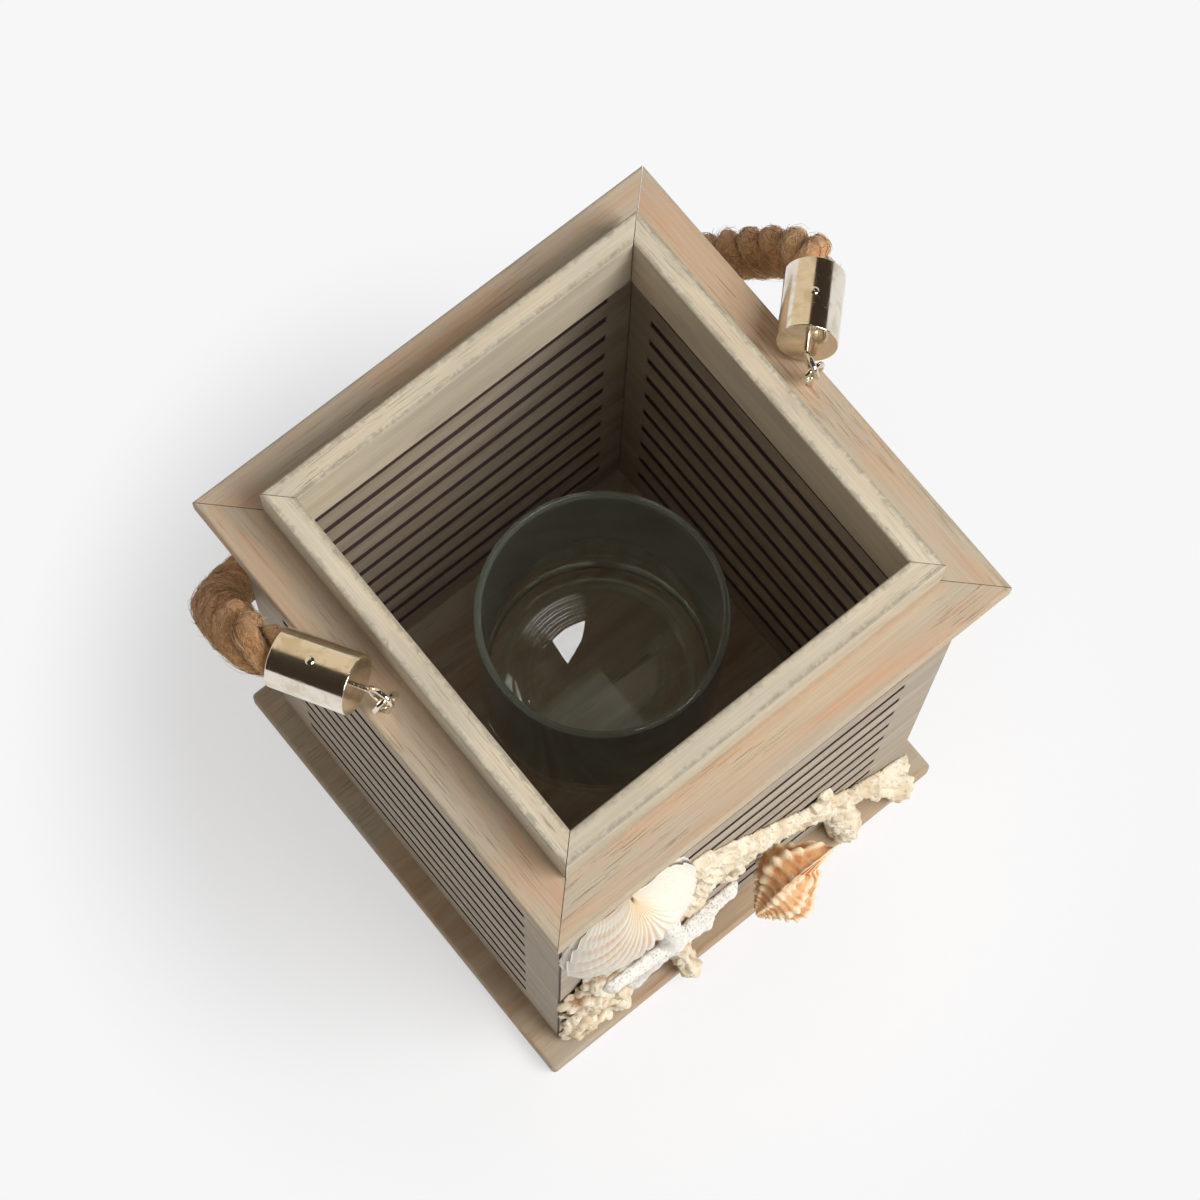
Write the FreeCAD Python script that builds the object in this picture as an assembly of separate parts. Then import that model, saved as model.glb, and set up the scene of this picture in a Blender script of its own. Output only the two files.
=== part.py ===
import FreeCAD, Part
import math
import os

# Square wooden hurricane lantern: slotted walls on a base board, a mitred collar and rim, a loose glass
# cup, a rope handle on screw eyes, and shells and coral glued on the front.
# Millimetres, +Z up, origin in the middle of the underside of the base. The ornamented front faces -Y.

# Boards
BASE_SIDE = 203.0
BASE_THICK = 10.0
BASE_CORNER_R = 2.0
BASE_EDGE_R = 1.5
WALL_SIDE = 183.0
WALL_THICK = 9.0
WALL_HEIGHT = 264.0
WALL_ARRIS = 0.6
COLLAR_OVERHANG = 8.5
COLLAR_THICK = 8.0
COLLAR_EDGE_R = 1.0
RIM_THICK = 9.0
RIM_PROUD = 18.0
RIM_DROP = 9.0
RIM_EDGE_R = 0.8
MITRE_GAP = 0.25

# Slots in the walls
SLOT_PITCH = 20.0
SLOT_HEIGHT = 5.0
SLOT_END = 12.0
SLOT_MARGIN = 20.0

# Screws up through the base into the walls
SCREW_RADIUS = 1.6
SCREW_HEAD_RADIUS = 3.2
SCREW_HEAD_HEIGHT = 1.8
SCREW_SUNK = 0.4
SCREW_LENGTH = 20.0
SCREW_SPAN = 100.0
SCREW_CLEAR = 0.1

# Glass cup, standing loose and off the middle, as the photo shows it
GLASS_RADIUS = 50.5
GLASS_HEIGHT = 107.0
GLASS_WALL = 3.2
GLASS_FLOOR = 9.0
GLASS_HEEL_R = 8.0
GLASS_INSIDE_R = 10.0
GLASS_X = 16.0
GLASS_Y = 15.0
GLASS_GAP = 0.2

# Screw eyes and the eye pins linked with them
EYE_WIRE = 2.2
EYE_RADIUS = 4.3
EYE_NECK = 5.8
EYE_DEPTH = 6.5
EYE_HOLE_CLEAR = 0.05
EYE_OUT = 2.0
LINK_WIRE = 2.0
LINK_RADIUS = 4.5
LINK_CLEAR = 0.6
LINK_YAW = 16.0
LINK_SHANK = 5.0
LINK_SHANK_WIRE = 1.8
LINK_HEAD_RADIUS = 2.2
LINK_HEAD_THICK = 1.0

# Ferrules
FERRULE_RADIUS = 10.8
FERRULE_LENGTH = 29.5
FERRULE_WALL = 0.9
FERRULE_END = 1.2
FERRULE_EDGE_R = 0.4
LEFT_SPLAY = 28.0
RIGHT_SPLAY = 47.0
LEFT_DROOP = 11.0
RIGHT_DROOP = 15.0
PIN_HEAD_RADIUS = 1.6
PIN_HEAD_PROUD = 0.7
PIN_RADIUS = 0.8
PIN_SETBACK = 15.0

# Rope
ROPE_RADIUS = 9.3
ROPE_TUCK = 12.0
ROPE_LEAD = 5.0
ROPE_FILL = 0.45
ROPE_ROUTE = [
    (-115.6, 50.6, 281.0), (-114.0, 63.0, 263.0), (-111.5, 75.0, 236.0), (-109.0, 85.0, 209.0),
    (-103.5, 94.0, 182.0), (-96.0, 102.5, 158.0), (-80.0, 107.5, 141.0), (-57.0, 109.0, 131.5),
    (-30.0, 109.5, 127.0), (0.0, 109.7, 125.5), (30.0, 109.5, 128.0), (57.0, 109.0, 134.0),
    (80.0, 107.5, 143.5), (97.0, 102.5, 158.5), (108.0, 94.0, 178.0), (115.0, 82.0, 201.0),
    (119.5, 68.0, 228.0), (123.0, 53.5, 254.0), (125.0, 41.0, 273.0),
]

# Scallop on the upper left of the front wall
SCALLOP_IN = 29.0
SCALLOP_BEAK_UP = 222.0
SCALLOP_LENGTH = 72.0
SCALLOP_HALF_FAN = 64.0
SCALLOP_ROUND = 1.7
SCALLOP_SWELL = 17.0
SCALLOP_RIBS = 13
SCALLOP_RIB_RISE = 0.9
SCALLOP_RIB_LINES = 4
SCALLOP_ROWS = 8
SCALLOP_SEAT = 1.0
SCALLOP_BEAK_SHARE = 0.05

# Starfish over the coral, hung below the scallop
STAR_IN = 44.5
STAR_DROP = 32.0
STAR_REACH = 34.0
STAR_HUB_R = 7.0
STAR_ARM_R = 5.8
STAR_TIP_R = 4.7
STAR_NECK = 0.94
STAR_OFF = 10.3
STAR_TURN = 20.0
STAR_ARMS = 5

# Murex glued to the wall below the coral
MUREX_IN = 109.0
MUREX_UP = 61.0
MUREX_LENGTH = 54.0
MUREX_RADIUS = 16.0
MUREX_CANAL = 13.0
MUREX_CANAL_R = 3.0
MUREX_WHORLS = 4
MUREX_TAPER = 0.66
MUREX_SUTURE = 0.84
MUREX_SPINES = 7
MUREX_SPINE = 1.8
MUREX_SPINE_R = 2.6
MUREX_TURN = 14.0

# Coral slanting down from beside the scallop to the ledge: chains of balls, each (along, off, up, radius)
CORAL_NECK = 0.92
CORAL_TIP_ASIDE = 34.0
CORAL_TIP_DROP = 59.0
CORAL_TIP_OFF = -3.0
CORAL_TIP_R = 8.0
CORAL_TRUNK = [
    (75, -4, 141, 9), (91, -4, 117, 9.5), (107, -3.5, 94, 8.5), (125, -4, 68, 9),
    (144, -3, 41, 8), (164, -2, 19, 7.5), (180, -1, 8, 6),
]
CORAL_TWIGS = [
    [(75, -2, 141, 8.5), (60, 1, 128, 8), (45, 2.5, 117, 7.5)],
    [(91, -3, 117, 8), (84, -2, 92, 6.5)],
    [(125, -3, 68, 8), (133, -2, 84, 5)],
    [(144, -2, 41, 7), (147, 7, 6, 6)],
    [(164, -1, 19, 6.5), (175, 8, 6, 5.5)],
]

# Coral clump at the left corner and the twig below the starfish
CLUMP_IN = 3.0
CLUMP_WIDTH = 34.0
CLUMP_HEIGHT = 104.0
CLUMP_FILL = 0.74
CLUMP_SWAY = 1.4
CLUMP_SWAY_ROW = 3.0
CLUMP_SWAY_COLUMN = 5.0
CLUMP_COLUMNS = 3
CLUMP_ROWS = 8
TWIG_IN = 60.0
TWIG_R = 4.0
TWIG_OUT = 12.0
TWIG_RISE = 26.0

# Levels and sides worked out from the boards
collar_side = WALL_SIDE + 2 * COLLAR_OVERHANG
base_top = BASE_THICK
wall_top = base_top + WALL_HEIGHT
collar_top = wall_top + COLLAR_THICK
rim_top = collar_top + RIM_PROUD
rim_foot = wall_top - RIM_DROP
cavity_side = WALL_SIDE - 2 * WALL_THICK
rim_inside = cavity_side - 2 * RIM_THICK
front_y = -WALL_SIDE / 2
left_x = -WALL_SIDE / 2
right_x = WALL_SIDE / 2
eye_x = (collar_side + cavity_side) / 4 + EYE_OUT
eye_centre_z = collar_top + EYE_NECK + EYE_RADIUS + EYE_WIRE / 2
hinge_z = eye_centre_z + EYE_RADIUS
bore_radius = FERRULE_RADIUS - FERRULE_WALL

PARALLEL = 0.999
V = FreeCAD.Vector
X_AXIS = V(1, 0, 0)
Y_AXIS = V(0, 1, 0)
Z_AXIS = V(0, 0, 1)
SIDES = {"front": 0, "right": 90, "back": 180, "left": 270}


def save(shape, node):
    """Write one solid or group of solids under its node's name."""
    shape.exportStep("parts/" + node + ".step")


def prism(points, height):
    """A straight prism over a closed outline of points at one level."""
    outline = Part.makePolygon(points + points[:1])
    return Part.Face(outline).extrude(V(0, 0, height))


def mitred_board(outer, inner, foot, height):
    """A front board of a square frame, its ends cut at 45 degrees and short by half the open joint."""
    short = MITRE_GAP / math.sqrt(2)
    points = [
        V(short - outer / 2, -outer / 2, foot), V(outer / 2 - short, -outer / 2, foot),
        V(inner / 2 - short, -inner / 2, foot), V(short - inner / 2, -inner / 2, foot),
    ]
    return prism(points, height)


def edges_along(shape, axis, place):
    """The straight edges that run along an axis and whose middle passes a test."""
    found = []
    for edge in shape.Edges:
        start, end = edge.Vertexes[0].Point, edge.Vertexes[-1].Point
        run = end.sub(start)
        if run.Length > 0 and abs(run.dot(axis)) > PARALLEL * run.Length and place((start + end) * 0.5):
            found.append(edge)
    return found


def around(shape, turn):
    """A copy turned about the upright axis of the lantern."""
    copy = shape.copy()
    copy.rotate(V(0, 0, 0), Z_AXIS, turn)
    return copy


# Boards

def screw_places():
    """Middles of the screws on the underside, two under each wall."""
    reach = (WALL_SIDE - WALL_THICK) / 2
    places = []
    for turn in SIDES.values():
        for along in (-SCREW_SPAN / 2, SCREW_SPAN / 2):
            place = FreeCAD.Rotation(Z_AXIS, turn).multVec(V(along, -reach, 0))
            places.append(place)
    return places


def screw(place, spare):
    """A countersunk screw, or its hole when spare is the clearance round it."""
    radius = SCREW_RADIUS + spare
    head = Part.makeCone(SCREW_HEAD_RADIUS + spare, radius, SCREW_HEAD_HEIGHT, V(0, 0, SCREW_SUNK))
    shank = Part.makeCylinder(radius, SCREW_LENGTH - SCREW_RADIUS + spare, V(0, 0, SCREW_SUNK))
    tip = Part.makeCone(radius, 0, radius, V(0, 0, SCREW_SUNK + SCREW_LENGTH - SCREW_RADIUS + spare))
    body = head.fuse([shank, tip]).removeSplitter()
    body.translate(place)
    return body


def screw_hole(place):
    """The countersunk hole of a screw, open at the underside."""
    mouth = Part.makeCylinder(SCREW_HEAD_RADIUS + SCREW_CLEAR, SCREW_SUNK, place)
    return screw(place, SCREW_CLEAR).fuse(mouth)


def base_board(holes):
    """Square board with rounded corners and edges."""
    board = Part.makeBox(BASE_SIDE, BASE_SIDE, BASE_THICK, V(-BASE_SIDE / 2, -BASE_SIDE / 2, 0))
    board = board.makeFillet(BASE_CORNER_R, edges_along(board, Z_AXIS, lambda p: True))
    rims = [e for e in board.Edges if abs(e.BoundBox.ZLength) < BASE_EDGE_R]
    board = board.makeFillet(BASE_EDGE_R, rims)
    return board.cut(holes)


def slots():
    """The row of slots cut through the front wall."""
    count = int((WALL_HEIGHT - 2 * SLOT_MARGIN) / SLOT_PITCH) + 1
    first = base_top + (WALL_HEIGHT - (count - 1) * SLOT_PITCH) / 2
    length = cavity_side - 2 * SLOT_END
    cuts = []
    for row in range(count):
        foot = first + row * SLOT_PITCH - SLOT_HEIGHT / 2
        corner = V(-length / 2, front_y - WALL_THICK, foot)
        cuts.append(Part.makeBox(length, 3 * WALL_THICK, SLOT_HEIGHT, corner))
    return cuts


def wall():
    """The front wall: a mitred board with its slots and broken outer arrises."""
    board = mitred_board(WALL_SIDE, cavity_side, base_top, WALL_HEIGHT)
    arrises = edges_along(board, Z_AXIS, lambda p: abs(p.y - front_y) < WALL_ARRIS)
    return board.makeChamfer(WALL_ARRIS, arrises).cut(slots())


def collar_board():
    """The front collar board, flat on the walls, with its outer edges rounded."""
    board = mitred_board(collar_side, cavity_side, wall_top, COLLAR_THICK)
    outer = edges_along(board, X_AXIS, lambda p: abs(p.y + collar_side / 2) < COLLAR_EDGE_R)
    return board.makeFillet(COLLAR_EDGE_R, outer)


def rim_board():
    """The front rim board, standing on edge, with its two top edges rounded."""
    board = mitred_board(cavity_side, rim_inside, rim_foot, rim_top - rim_foot)
    tops = edges_along(board, X_AXIS, lambda p: abs(p.z - rim_top) < RIM_EDGE_R)
    return board.makeFillet(RIM_EDGE_R, tops)


# Glass

def glass_cup():
    """Round cup turned from one profile, with a heavy floor and a rounded lip."""
    foot = base_top + GLASS_GAP
    top = foot + GLASS_HEIGHT
    lip_r = GLASS_WALL / 2
    inside = GLASS_RADIUS - GLASS_WALL
    floor = foot + GLASS_FLOOR
    slant = math.sqrt(0.5)
    heel = V(GLASS_RADIUS - GLASS_HEEL_R, 0, foot + GLASS_HEEL_R)
    cove = V(inside - GLASS_INSIDE_R, 0, floor + GLASS_INSIDE_R)
    heel_mid = heel + V(GLASS_HEEL_R * slant, 0, -GLASS_HEEL_R * slant)
    cove_mid = cove + V(GLASS_INSIDE_R * slant, 0, -GLASS_INSIDE_R * slant)
    p = [
        V(0, 0, foot), V(heel.x, 0, foot), V(GLASS_RADIUS, 0, heel.z), V(GLASS_RADIUS, 0, top - lip_r),
        V(inside, 0, top - lip_r), V(inside, 0, cove.z), V(cove.x, 0, floor), V(0, 0, floor),
    ]
    edges = [
        Part.LineSegment(p[0], p[1]), Part.Arc(p[1], heel_mid, p[2]), Part.LineSegment(p[2], p[3]),
        Part.Arc(p[3], V(inside + lip_r, 0, top), p[4]), Part.LineSegment(p[4], p[5]),
        Part.Arc(p[5], cove_mid, p[6]), Part.LineSegment(p[6], p[7]), Part.LineSegment(p[7], p[0]),
    ]
    profile = Part.Face(Part.Wire([edge.toShape() for edge in edges]))
    cup = profile.revolve(V(0, 0, 0), Z_AXIS, 360)
    cup.translate(V(GLASS_X, GLASS_Y, 0))
    return cup


# Handle

def screw_eye(side):
    """Ring of wire on a pointed shank; the ring's top wire runs along X."""
    x = side * eye_x
    ring = Part.makeTorus(EYE_RADIUS, EYE_WIRE / 2, V(x, 0, eye_centre_z), Y_AXIS)
    foot = collar_top - EYE_DEPTH + EYE_WIRE
    shank = Part.makeCylinder(EYE_WIRE / 2, eye_centre_z - EYE_RADIUS - foot, V(x, 0, foot))
    tip = Part.makeCone(0, EYE_WIRE / 2, EYE_WIRE, V(x, 0, collar_top - EYE_DEPTH))
    return ring.fuse([shank, tip])


def screw_eye_hole(side):
    """The hole that the screw eye's shank fills."""
    foot = V(side * eye_x, 0, collar_top - EYE_DEPTH)
    return Part.makeCylinder(EYE_WIRE / 2 + EYE_HOLE_CLEAR, EYE_DEPTH, foot)


def heading(side, splay):
    """The way that leaves a screw eye towards the back, splayed outwards and drooping."""
    outward = math.radians(splay)
    droop = math.radians(LEFT_DROOP if side < 0 else RIGHT_DROOP)
    level = math.cos(droop)
    return V(side * math.sin(outward) * level, math.cos(outward) * level, -math.sin(droop))


def lead(side):
    """The way a ferrule points, from its eye pin towards the rope."""
    return heading(side, LEFT_SPLAY if side < 0 else RIGHT_SPLAY)


def along_link(side, distance):
    """The point at a distance from the hinge along the eye pin's ring."""
    return V(side * eye_x, 0, hinge_z) + heading(side, LINK_YAW) * distance


def along_lead(side, distance):
    """The point at a distance from the end of the eye pin's ring along the ferrule's line."""
    return along_link(side, link_middle + LINK_RADIUS) + lead(side) * distance


# Distances along the ring from the hinge, and along the ferrule's line from the ring's end
link_middle = LINK_RADIUS - (EYE_WIRE + LINK_WIRE) / 2 - LINK_CLEAR
cap_start = LINK_SHANK
cap_end = cap_start + FERRULE_LENGTH


def ferrule_eye(side):
    """Ring linked through the screw eye, with its shank riveted inside the ferrule's end."""
    ring_way = heading(side, LINK_YAW)
    normal = X_AXIS - ring_way * X_AXIS.dot(ring_way)
    ring = Part.makeTorus(LINK_RADIUS, LINK_WIRE / 2, along_link(side, link_middle), normal)
    length = LINK_SHANK + FERRULE_END
    shank = Part.makeCylinder(LINK_SHANK_WIRE / 2, length, along_lead(side, 0), lead(side))
    head = Part.makeCylinder(LINK_HEAD_RADIUS, LINK_HEAD_THICK, along_lead(side, length), lead(side))
    return ring.fuse([shank, head])


def pin_way(side):
    """The way a rope pin stands out of its ferrule: upwards, square to the ferrule."""
    way = lead(side)
    up = Z_AXIS - way * Z_AXIS.dot(way)
    return up.normalize()


def rope_pin(side):
    """Domed pin through the ferrule's side, down to the rope."""
    out = pin_way(side)
    seat = along_lead(side, cap_start + PIN_SETBACK) + out * FERRULE_RADIUS
    shank = Part.makeCylinder(PIN_RADIUS, FERRULE_RADIUS - ROPE_RADIUS, seat, out * -1)
    dome_r = (PIN_HEAD_RADIUS ** 2 + PIN_HEAD_PROUD ** 2) / (2 * PIN_HEAD_PROUD)
    ball = Part.makeSphere(dome_r, seat + out * (PIN_HEAD_PROUD - dome_r))
    dome = ball.common(Part.makeCylinder(PIN_HEAD_RADIUS, PIN_HEAD_PROUD, seat, out))
    return shank.fuse(dome)


def ferrule(side):
    """Plated cup over the rope's end, drilled for the eye pin and the rope pin."""
    way = lead(side)
    cup = Part.makeCylinder(FERRULE_RADIUS, FERRULE_LENGTH, along_lead(side, cap_start), way)
    rims = [e for e in cup.Edges if e.Curve.TypeId == "Part::GeomCircle"]
    cup = cup.makeFillet(FERRULE_EDGE_R, rims)
    bore_start = along_lead(side, cap_start + FERRULE_END)
    bore = Part.makeCylinder(bore_radius, FERRULE_LENGTH, bore_start, way)
    eye_start = along_lead(side, cap_start - FERRULE_END)
    eye_hole = Part.makeCylinder(LINK_SHANK_WIRE / 2, 3 * FERRULE_END, eye_start, way)
    pin_start = along_lead(side, cap_start + PIN_SETBACK)
    pin_hole = Part.makeCylinder(PIN_RADIUS, FERRULE_RADIUS, pin_start, pin_way(side))
    return cup.cut([bore, eye_hole, pin_hole])


def rope_points():
    """The rope's route from inside the left ferrule to inside the right one."""
    left = [along_lead(-1, cap_end - ROPE_TUCK), along_lead(-1, cap_end + ROPE_LEAD)]
    right = [along_lead(1, cap_end + ROPE_LEAD), along_lead(1, cap_end - ROPE_TUCK)]
    return left + [V(*point) for point in ROPE_ROUTE] + right


def rope_handle():
    """Round tube along straight runs and tangent arcs, each arc as large as its runs allow."""
    points = rope_points()
    edges = []
    start = points[0]
    for before, corner, after in zip(points, points[1:], points[2:]):
        back = before - corner
        ahead = after - corner
        run = min(back.Length, ahead.Length)
        turn = math.pi - back.getAngle(ahead)
        reach = ROPE_FILL * run
        radius = reach / math.tan(turn / 2)
        print("rope corner turn %.0f radius %.1f" % (math.degrees(turn), radius))
        back.normalize()
        ahead.normalize()
        arc_in = corner + back * reach
        arc_out = corner + ahead * reach
        inward = (back + ahead).normalize()
        middle = corner + inward * (radius / math.cos(turn / 2) - radius)
        edges.append(Part.LineSegment(start, arc_in).toShape())
        edges.append(Part.Arc(arc_in, middle, arc_out).toShape())
        start = arc_out
    edges.append(Part.LineSegment(start, points[-1]).toShape())
    path = Part.Wire(edges)
    circle = Part.Wire(Part.makeCircle(ROPE_RADIUS, points[0], points[1] - points[0]))
    tube = path.makePipeShell([circle], True, True)
    straight = math.pi * ROPE_RADIUS ** 2 * path.Length
    print("rope length %.1f, volume over section times length %.4f" % (path.Length, tube.Volume / straight))
    return tube


# Ornaments

def wall_point(along, off, up):
    """A point in front of the front wall: along from its left edge, off its face, up from the base."""
    return V(left_x + along, front_y - off, base_top + up)


def in_front(shape):
    """What is left of an ornament in front of the wall and above the base."""
    room = 2 * WALL_HEIGHT
    return shape.common(Part.makeBox(room, room, room, V(-room / 2, front_y - room, base_top)))


def scallop_shell():
    """Ribbed dome fanned out downwards from its beak, with its flat back on the wall."""
    last_line = SCALLOP_RIB_LINES * SCALLOP_RIBS
    grid = []
    for i in range(last_line + 1):
        share = 2 * i / last_line - 1
        angle = math.radians(SCALLOP_HALF_FAN) * share
        length = SCALLOP_LENGTH * math.cos(angle) ** SCALLOP_ROUND
        line = []
        for j in range(SCALLOP_ROWS + 1):
            reach = length * (SCALLOP_BEAK_SHARE + (1 - SCALLOP_BEAK_SHARE) * j / SCALLOP_ROWS)
            bulge = math.sin(math.pi * j / SCALLOP_ROWS)
            swell = SCALLOP_SWELL * math.sqrt(bulge * math.cos(math.pi / 2 * share))
            rib = SCALLOP_RIB_RISE * math.cos(2 * math.pi * i / SCALLOP_RIB_LINES) * bulge * (1 - share ** 2)
            inside = 0 < i < last_line and 0 < j < SCALLOP_ROWS
            off = swell + rib if inside else -SCALLOP_SEAT
            line.append(wall_point(SCALLOP_IN + reach * math.sin(angle), off,
                                   SCALLOP_BEAK_UP - reach * math.cos(angle)))
        grid.append(line)
    surface = Part.BSplineSurface()
    surface.interpolate(grid)
    return in_front(surface.toShape().extrude(Y_AXIS * SCALLOP_LENGTH))


def starfish():
    """Five blunt fingers from a small hub, flat behind, lying over the coral."""
    star_up = SCALLOP_BEAK_UP - SCALLOP_LENGTH - STAR_DROP
    hub = wall_point(STAR_IN, STAR_OFF, star_up)
    length = STAR_REACH - STAR_TIP_R
    size = 4 * STAR_REACH
    front_half = Part.makeBox(size, size, size, hub - V(size / 2, size, size / 2))
    body = Part.makeSphere(STAR_HUB_R, hub).common(front_half)
    for arm in range(STAR_ARMS):
        angle = math.radians(STAR_TURN + 360 / STAR_ARMS * arm)
        way = V(math.cos(angle), 0, math.sin(angle))
        finger = Part.makeCone(STAR_ARM_R, STAR_TIP_R * STAR_NECK, length, hub, way)
        tip = Part.makeSphere(STAR_TIP_R, hub + way * length)
        body = body.fuse(finger.fuse(tip).common(front_half))
    return body


def murex_shell():
    """Spindle of bulging whorls with rows of blunt spines, lying along the wall."""
    shares = [MUREX_TAPER ** whorl for whorl in range(MUREX_WHORLS)]
    unit = (MUREX_LENGTH - MUREX_CANAL) / sum(shares)
    level = MUREX_CANAL
    edges = [Part.LineSegment(V(0, 0, 0), V(MUREX_CANAL_R, 0, 0))]
    edges.append(Part.LineSegment(V(MUREX_CANAL_R, 0, 0), V(MUREX_RADIUS * MUREX_SUTURE, 0, level)))
    spines = []
    for share in shares:
        radius = MUREX_RADIUS * share
        middle = V(radius, 0, level + unit * share / 2)
        start = V(radius * MUREX_SUTURE, 0, level)
        level += unit * share
        end = V(radius * MUREX_TAPER * MUREX_SUTURE, 0, level)
        edges.append(Part.Arc(start, middle, end))
        for spine in range(MUREX_SPINES):
            root = MUREX_SPINE_R * share
            start_in = middle - X_AXIS * (radius / 2)
            cone = Part.makeCone(root, root / 2, MUREX_SPINE + radius / 2, start_in, X_AXIS)
            cone.rotate(V(0, 0, 0), Z_AXIS, 360 / MUREX_SPINES * spine)
            spines.append(cone)
    edges.append(Part.LineSegment(end, V(0, 0, level)))
    edges.append(Part.LineSegment(V(0, 0, level), V(0, 0, 0)))
    profile = Part.Face(Part.Wire([edge.toShape() for edge in edges]))
    shell = profile.revolve(V(0, 0, 0), Z_AXIS, 360).fuse(spines)
    shell.translate(V(0, 0, -MUREX_LENGTH / 2))
    shell.rotate(V(0, 0, 0), Y_AXIS, -90 + MUREX_TURN)
    shell.translate(wall_point(MUREX_IN, MUREX_RADIUS + MUREX_SPINE, MUREX_UP))
    return shell


def coral_chain(chain):
    """Balls along a chain of points, joined by slightly thinner necks."""
    balls = [(wall_point(along, off, up), radius) for along, off, up, radius in chain]
    pieces = [Part.makeSphere(radius, place) for place, radius in balls]
    for (start, radius), (end, next_radius) in zip(balls, balls[1:]):
        run = end - start
        pieces.append(Part.makeCone(radius * CORAL_NECK, next_radius * CORAL_NECK, run.Length, start, run))
    return pieces


def coral_branch():
    """Trunk slanting down the wall, with side twigs, two of them down to the ledge."""
    tip = (SCALLOP_IN + CORAL_TIP_ASIDE, CORAL_TIP_OFF, SCALLOP_BEAK_UP - CORAL_TIP_DROP, CORAL_TIP_R)
    pieces = coral_chain([tip] + CORAL_TRUNK)
    for twig in CORAL_TWIGS:
        pieces += coral_chain(twig)
    return in_front(pieces[0].fuse(pieces[1:]))


def coral_clump():
    """Mass of domes of uneven size at the corner, run together in staggered rows."""
    pitch = CLUMP_WIDTH / CLUMP_COLUMNS
    rise = CLUMP_HEIGHT / CLUMP_ROWS
    knob_r = CLUMP_FILL * (pitch + rise) / 2
    knobs = []
    for row in range(CLUMP_ROWS):
        shift = row % 2
        for column in range(CLUMP_COLUMNS - shift):
            sway = CLUMP_SWAY * math.sin(CLUMP_SWAY_ROW * row + CLUMP_SWAY_COLUMN * column)
            along = CLUMP_IN + pitch * (2 * column + 1 + shift) / 2 + sway
            place = wall_point(along, 0, rise * (2 * row + 1) / 2 - sway)
            knobs.append(Part.makeSphere(knob_r + sway / 2, place))
    return in_front(knobs[0].fuse(knobs[1:]))


def coral_twig():
    """Short twig leaning out from the wall over the edge of the base."""
    root = wall_point(TWIG_IN, 0, TWIG_RISE)
    tip = wall_point(TWIG_IN, TWIG_OUT, TWIG_R)
    way = tip - root
    stem = Part.makeCylinder(TWIG_R, way.Length, root, way)
    return in_front(stem.fuse([Part.makeSphere(TWIG_R, tip), Part.makeSphere(TWIG_R, root)]))


# Build

os.makedirs("parts", exist_ok=True)

screw_holes = [screw_hole(place) for place in screw_places()]
save(base_board(screw_holes), "base_board")
save(Part.makeCompound([screw(place, 0) for place in screw_places()]), "base_screws")

eye_holes = [screw_eye_hole(-1), screw_eye_hole(1)]
for name, turn in SIDES.items():
    save(around(wall(), turn).cut(screw_holes), "wall_" + name)
    save(around(collar_board(), turn).cut(eye_holes), "collar_" + name)
    save(around(rim_board(), turn), "rim_" + name)

save(glass_cup(), "glass_cup")

for name, side in (("left", -1), ("right", 1)):
    save(screw_eye(side), "screw_eye_" + name)
    save(ferrule_eye(side), "ferrule_eye_" + name)
    save(ferrule(side), "ferrule_" + name)
    save(rope_pin(side), "rope_pin_" + name)
save(rope_handle(), "rope_handle")

save(scallop_shell(), "scallop_shell")
save(starfish(), "starfish")
save(murex_shell(), "murex_shell")
save(coral_branch(), "coral_branch")
save(coral_clump(), "coral_clump")
save(coral_twig(), "coral_twig")
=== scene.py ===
"""Looks of a square wooden candle lantern with a glass cup, a rope handle and shells on its front.

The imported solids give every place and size. This script dresses them in the same frame, in metres:
+Z is up, the ornamented front faces -Y, and the rope hangs at the back.
"""
import logging
import math
import random
from dataclasses import dataclass
from enum import Enum
from typing import Callable, Optional, Sequence, Union

import bpy
import numpy as np
from mathutils import Matrix, Vector, noise


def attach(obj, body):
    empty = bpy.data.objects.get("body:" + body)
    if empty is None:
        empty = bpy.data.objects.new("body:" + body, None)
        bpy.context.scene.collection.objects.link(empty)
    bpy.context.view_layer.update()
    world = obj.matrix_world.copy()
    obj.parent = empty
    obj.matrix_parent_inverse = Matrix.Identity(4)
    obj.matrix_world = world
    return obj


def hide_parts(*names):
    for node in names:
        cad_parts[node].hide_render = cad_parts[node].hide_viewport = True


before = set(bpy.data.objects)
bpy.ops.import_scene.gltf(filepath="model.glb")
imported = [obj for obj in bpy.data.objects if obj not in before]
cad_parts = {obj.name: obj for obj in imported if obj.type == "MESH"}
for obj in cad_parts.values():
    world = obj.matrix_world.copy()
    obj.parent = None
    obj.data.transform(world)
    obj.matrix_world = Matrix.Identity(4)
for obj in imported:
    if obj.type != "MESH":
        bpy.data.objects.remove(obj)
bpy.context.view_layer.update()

LOG = logging.getLogger("lantern")
MM = 0.001
FULL_TURN = 2 * math.pi
UP = Vector((0.0, 0.0, 1.0))
Socket = Union[bpy.types.NodeSocket, float, tuple]

# Where the ornaments meet the wood: the front wall's face, the base's top, and the gap left to both
FRONT_Y = -0.0915
LEDGE_Z = 0.010
SKIN_GAP = 0.0002


def paint(red: int, green: int, blue: int) -> tuple:
    """Turn a colour chosen on a screen into the linear colour that a shader takes.

    Args:
        red: Red, 0 to 255.
        green: Green, 0 to 255.
        blue: Blue, 0 to 255.

    Returns:
        Linear red, green, blue and full alpha.
    """
    def linear(level: int) -> float:
        """Undo the screen curve for one channel."""
        share = level / 255
        return share / 12.92 if share <= 0.04045 else ((share + 0.055) / 1.055) ** 2.4
    return (linear(red), linear(green), linear(blue), 1.0)


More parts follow.
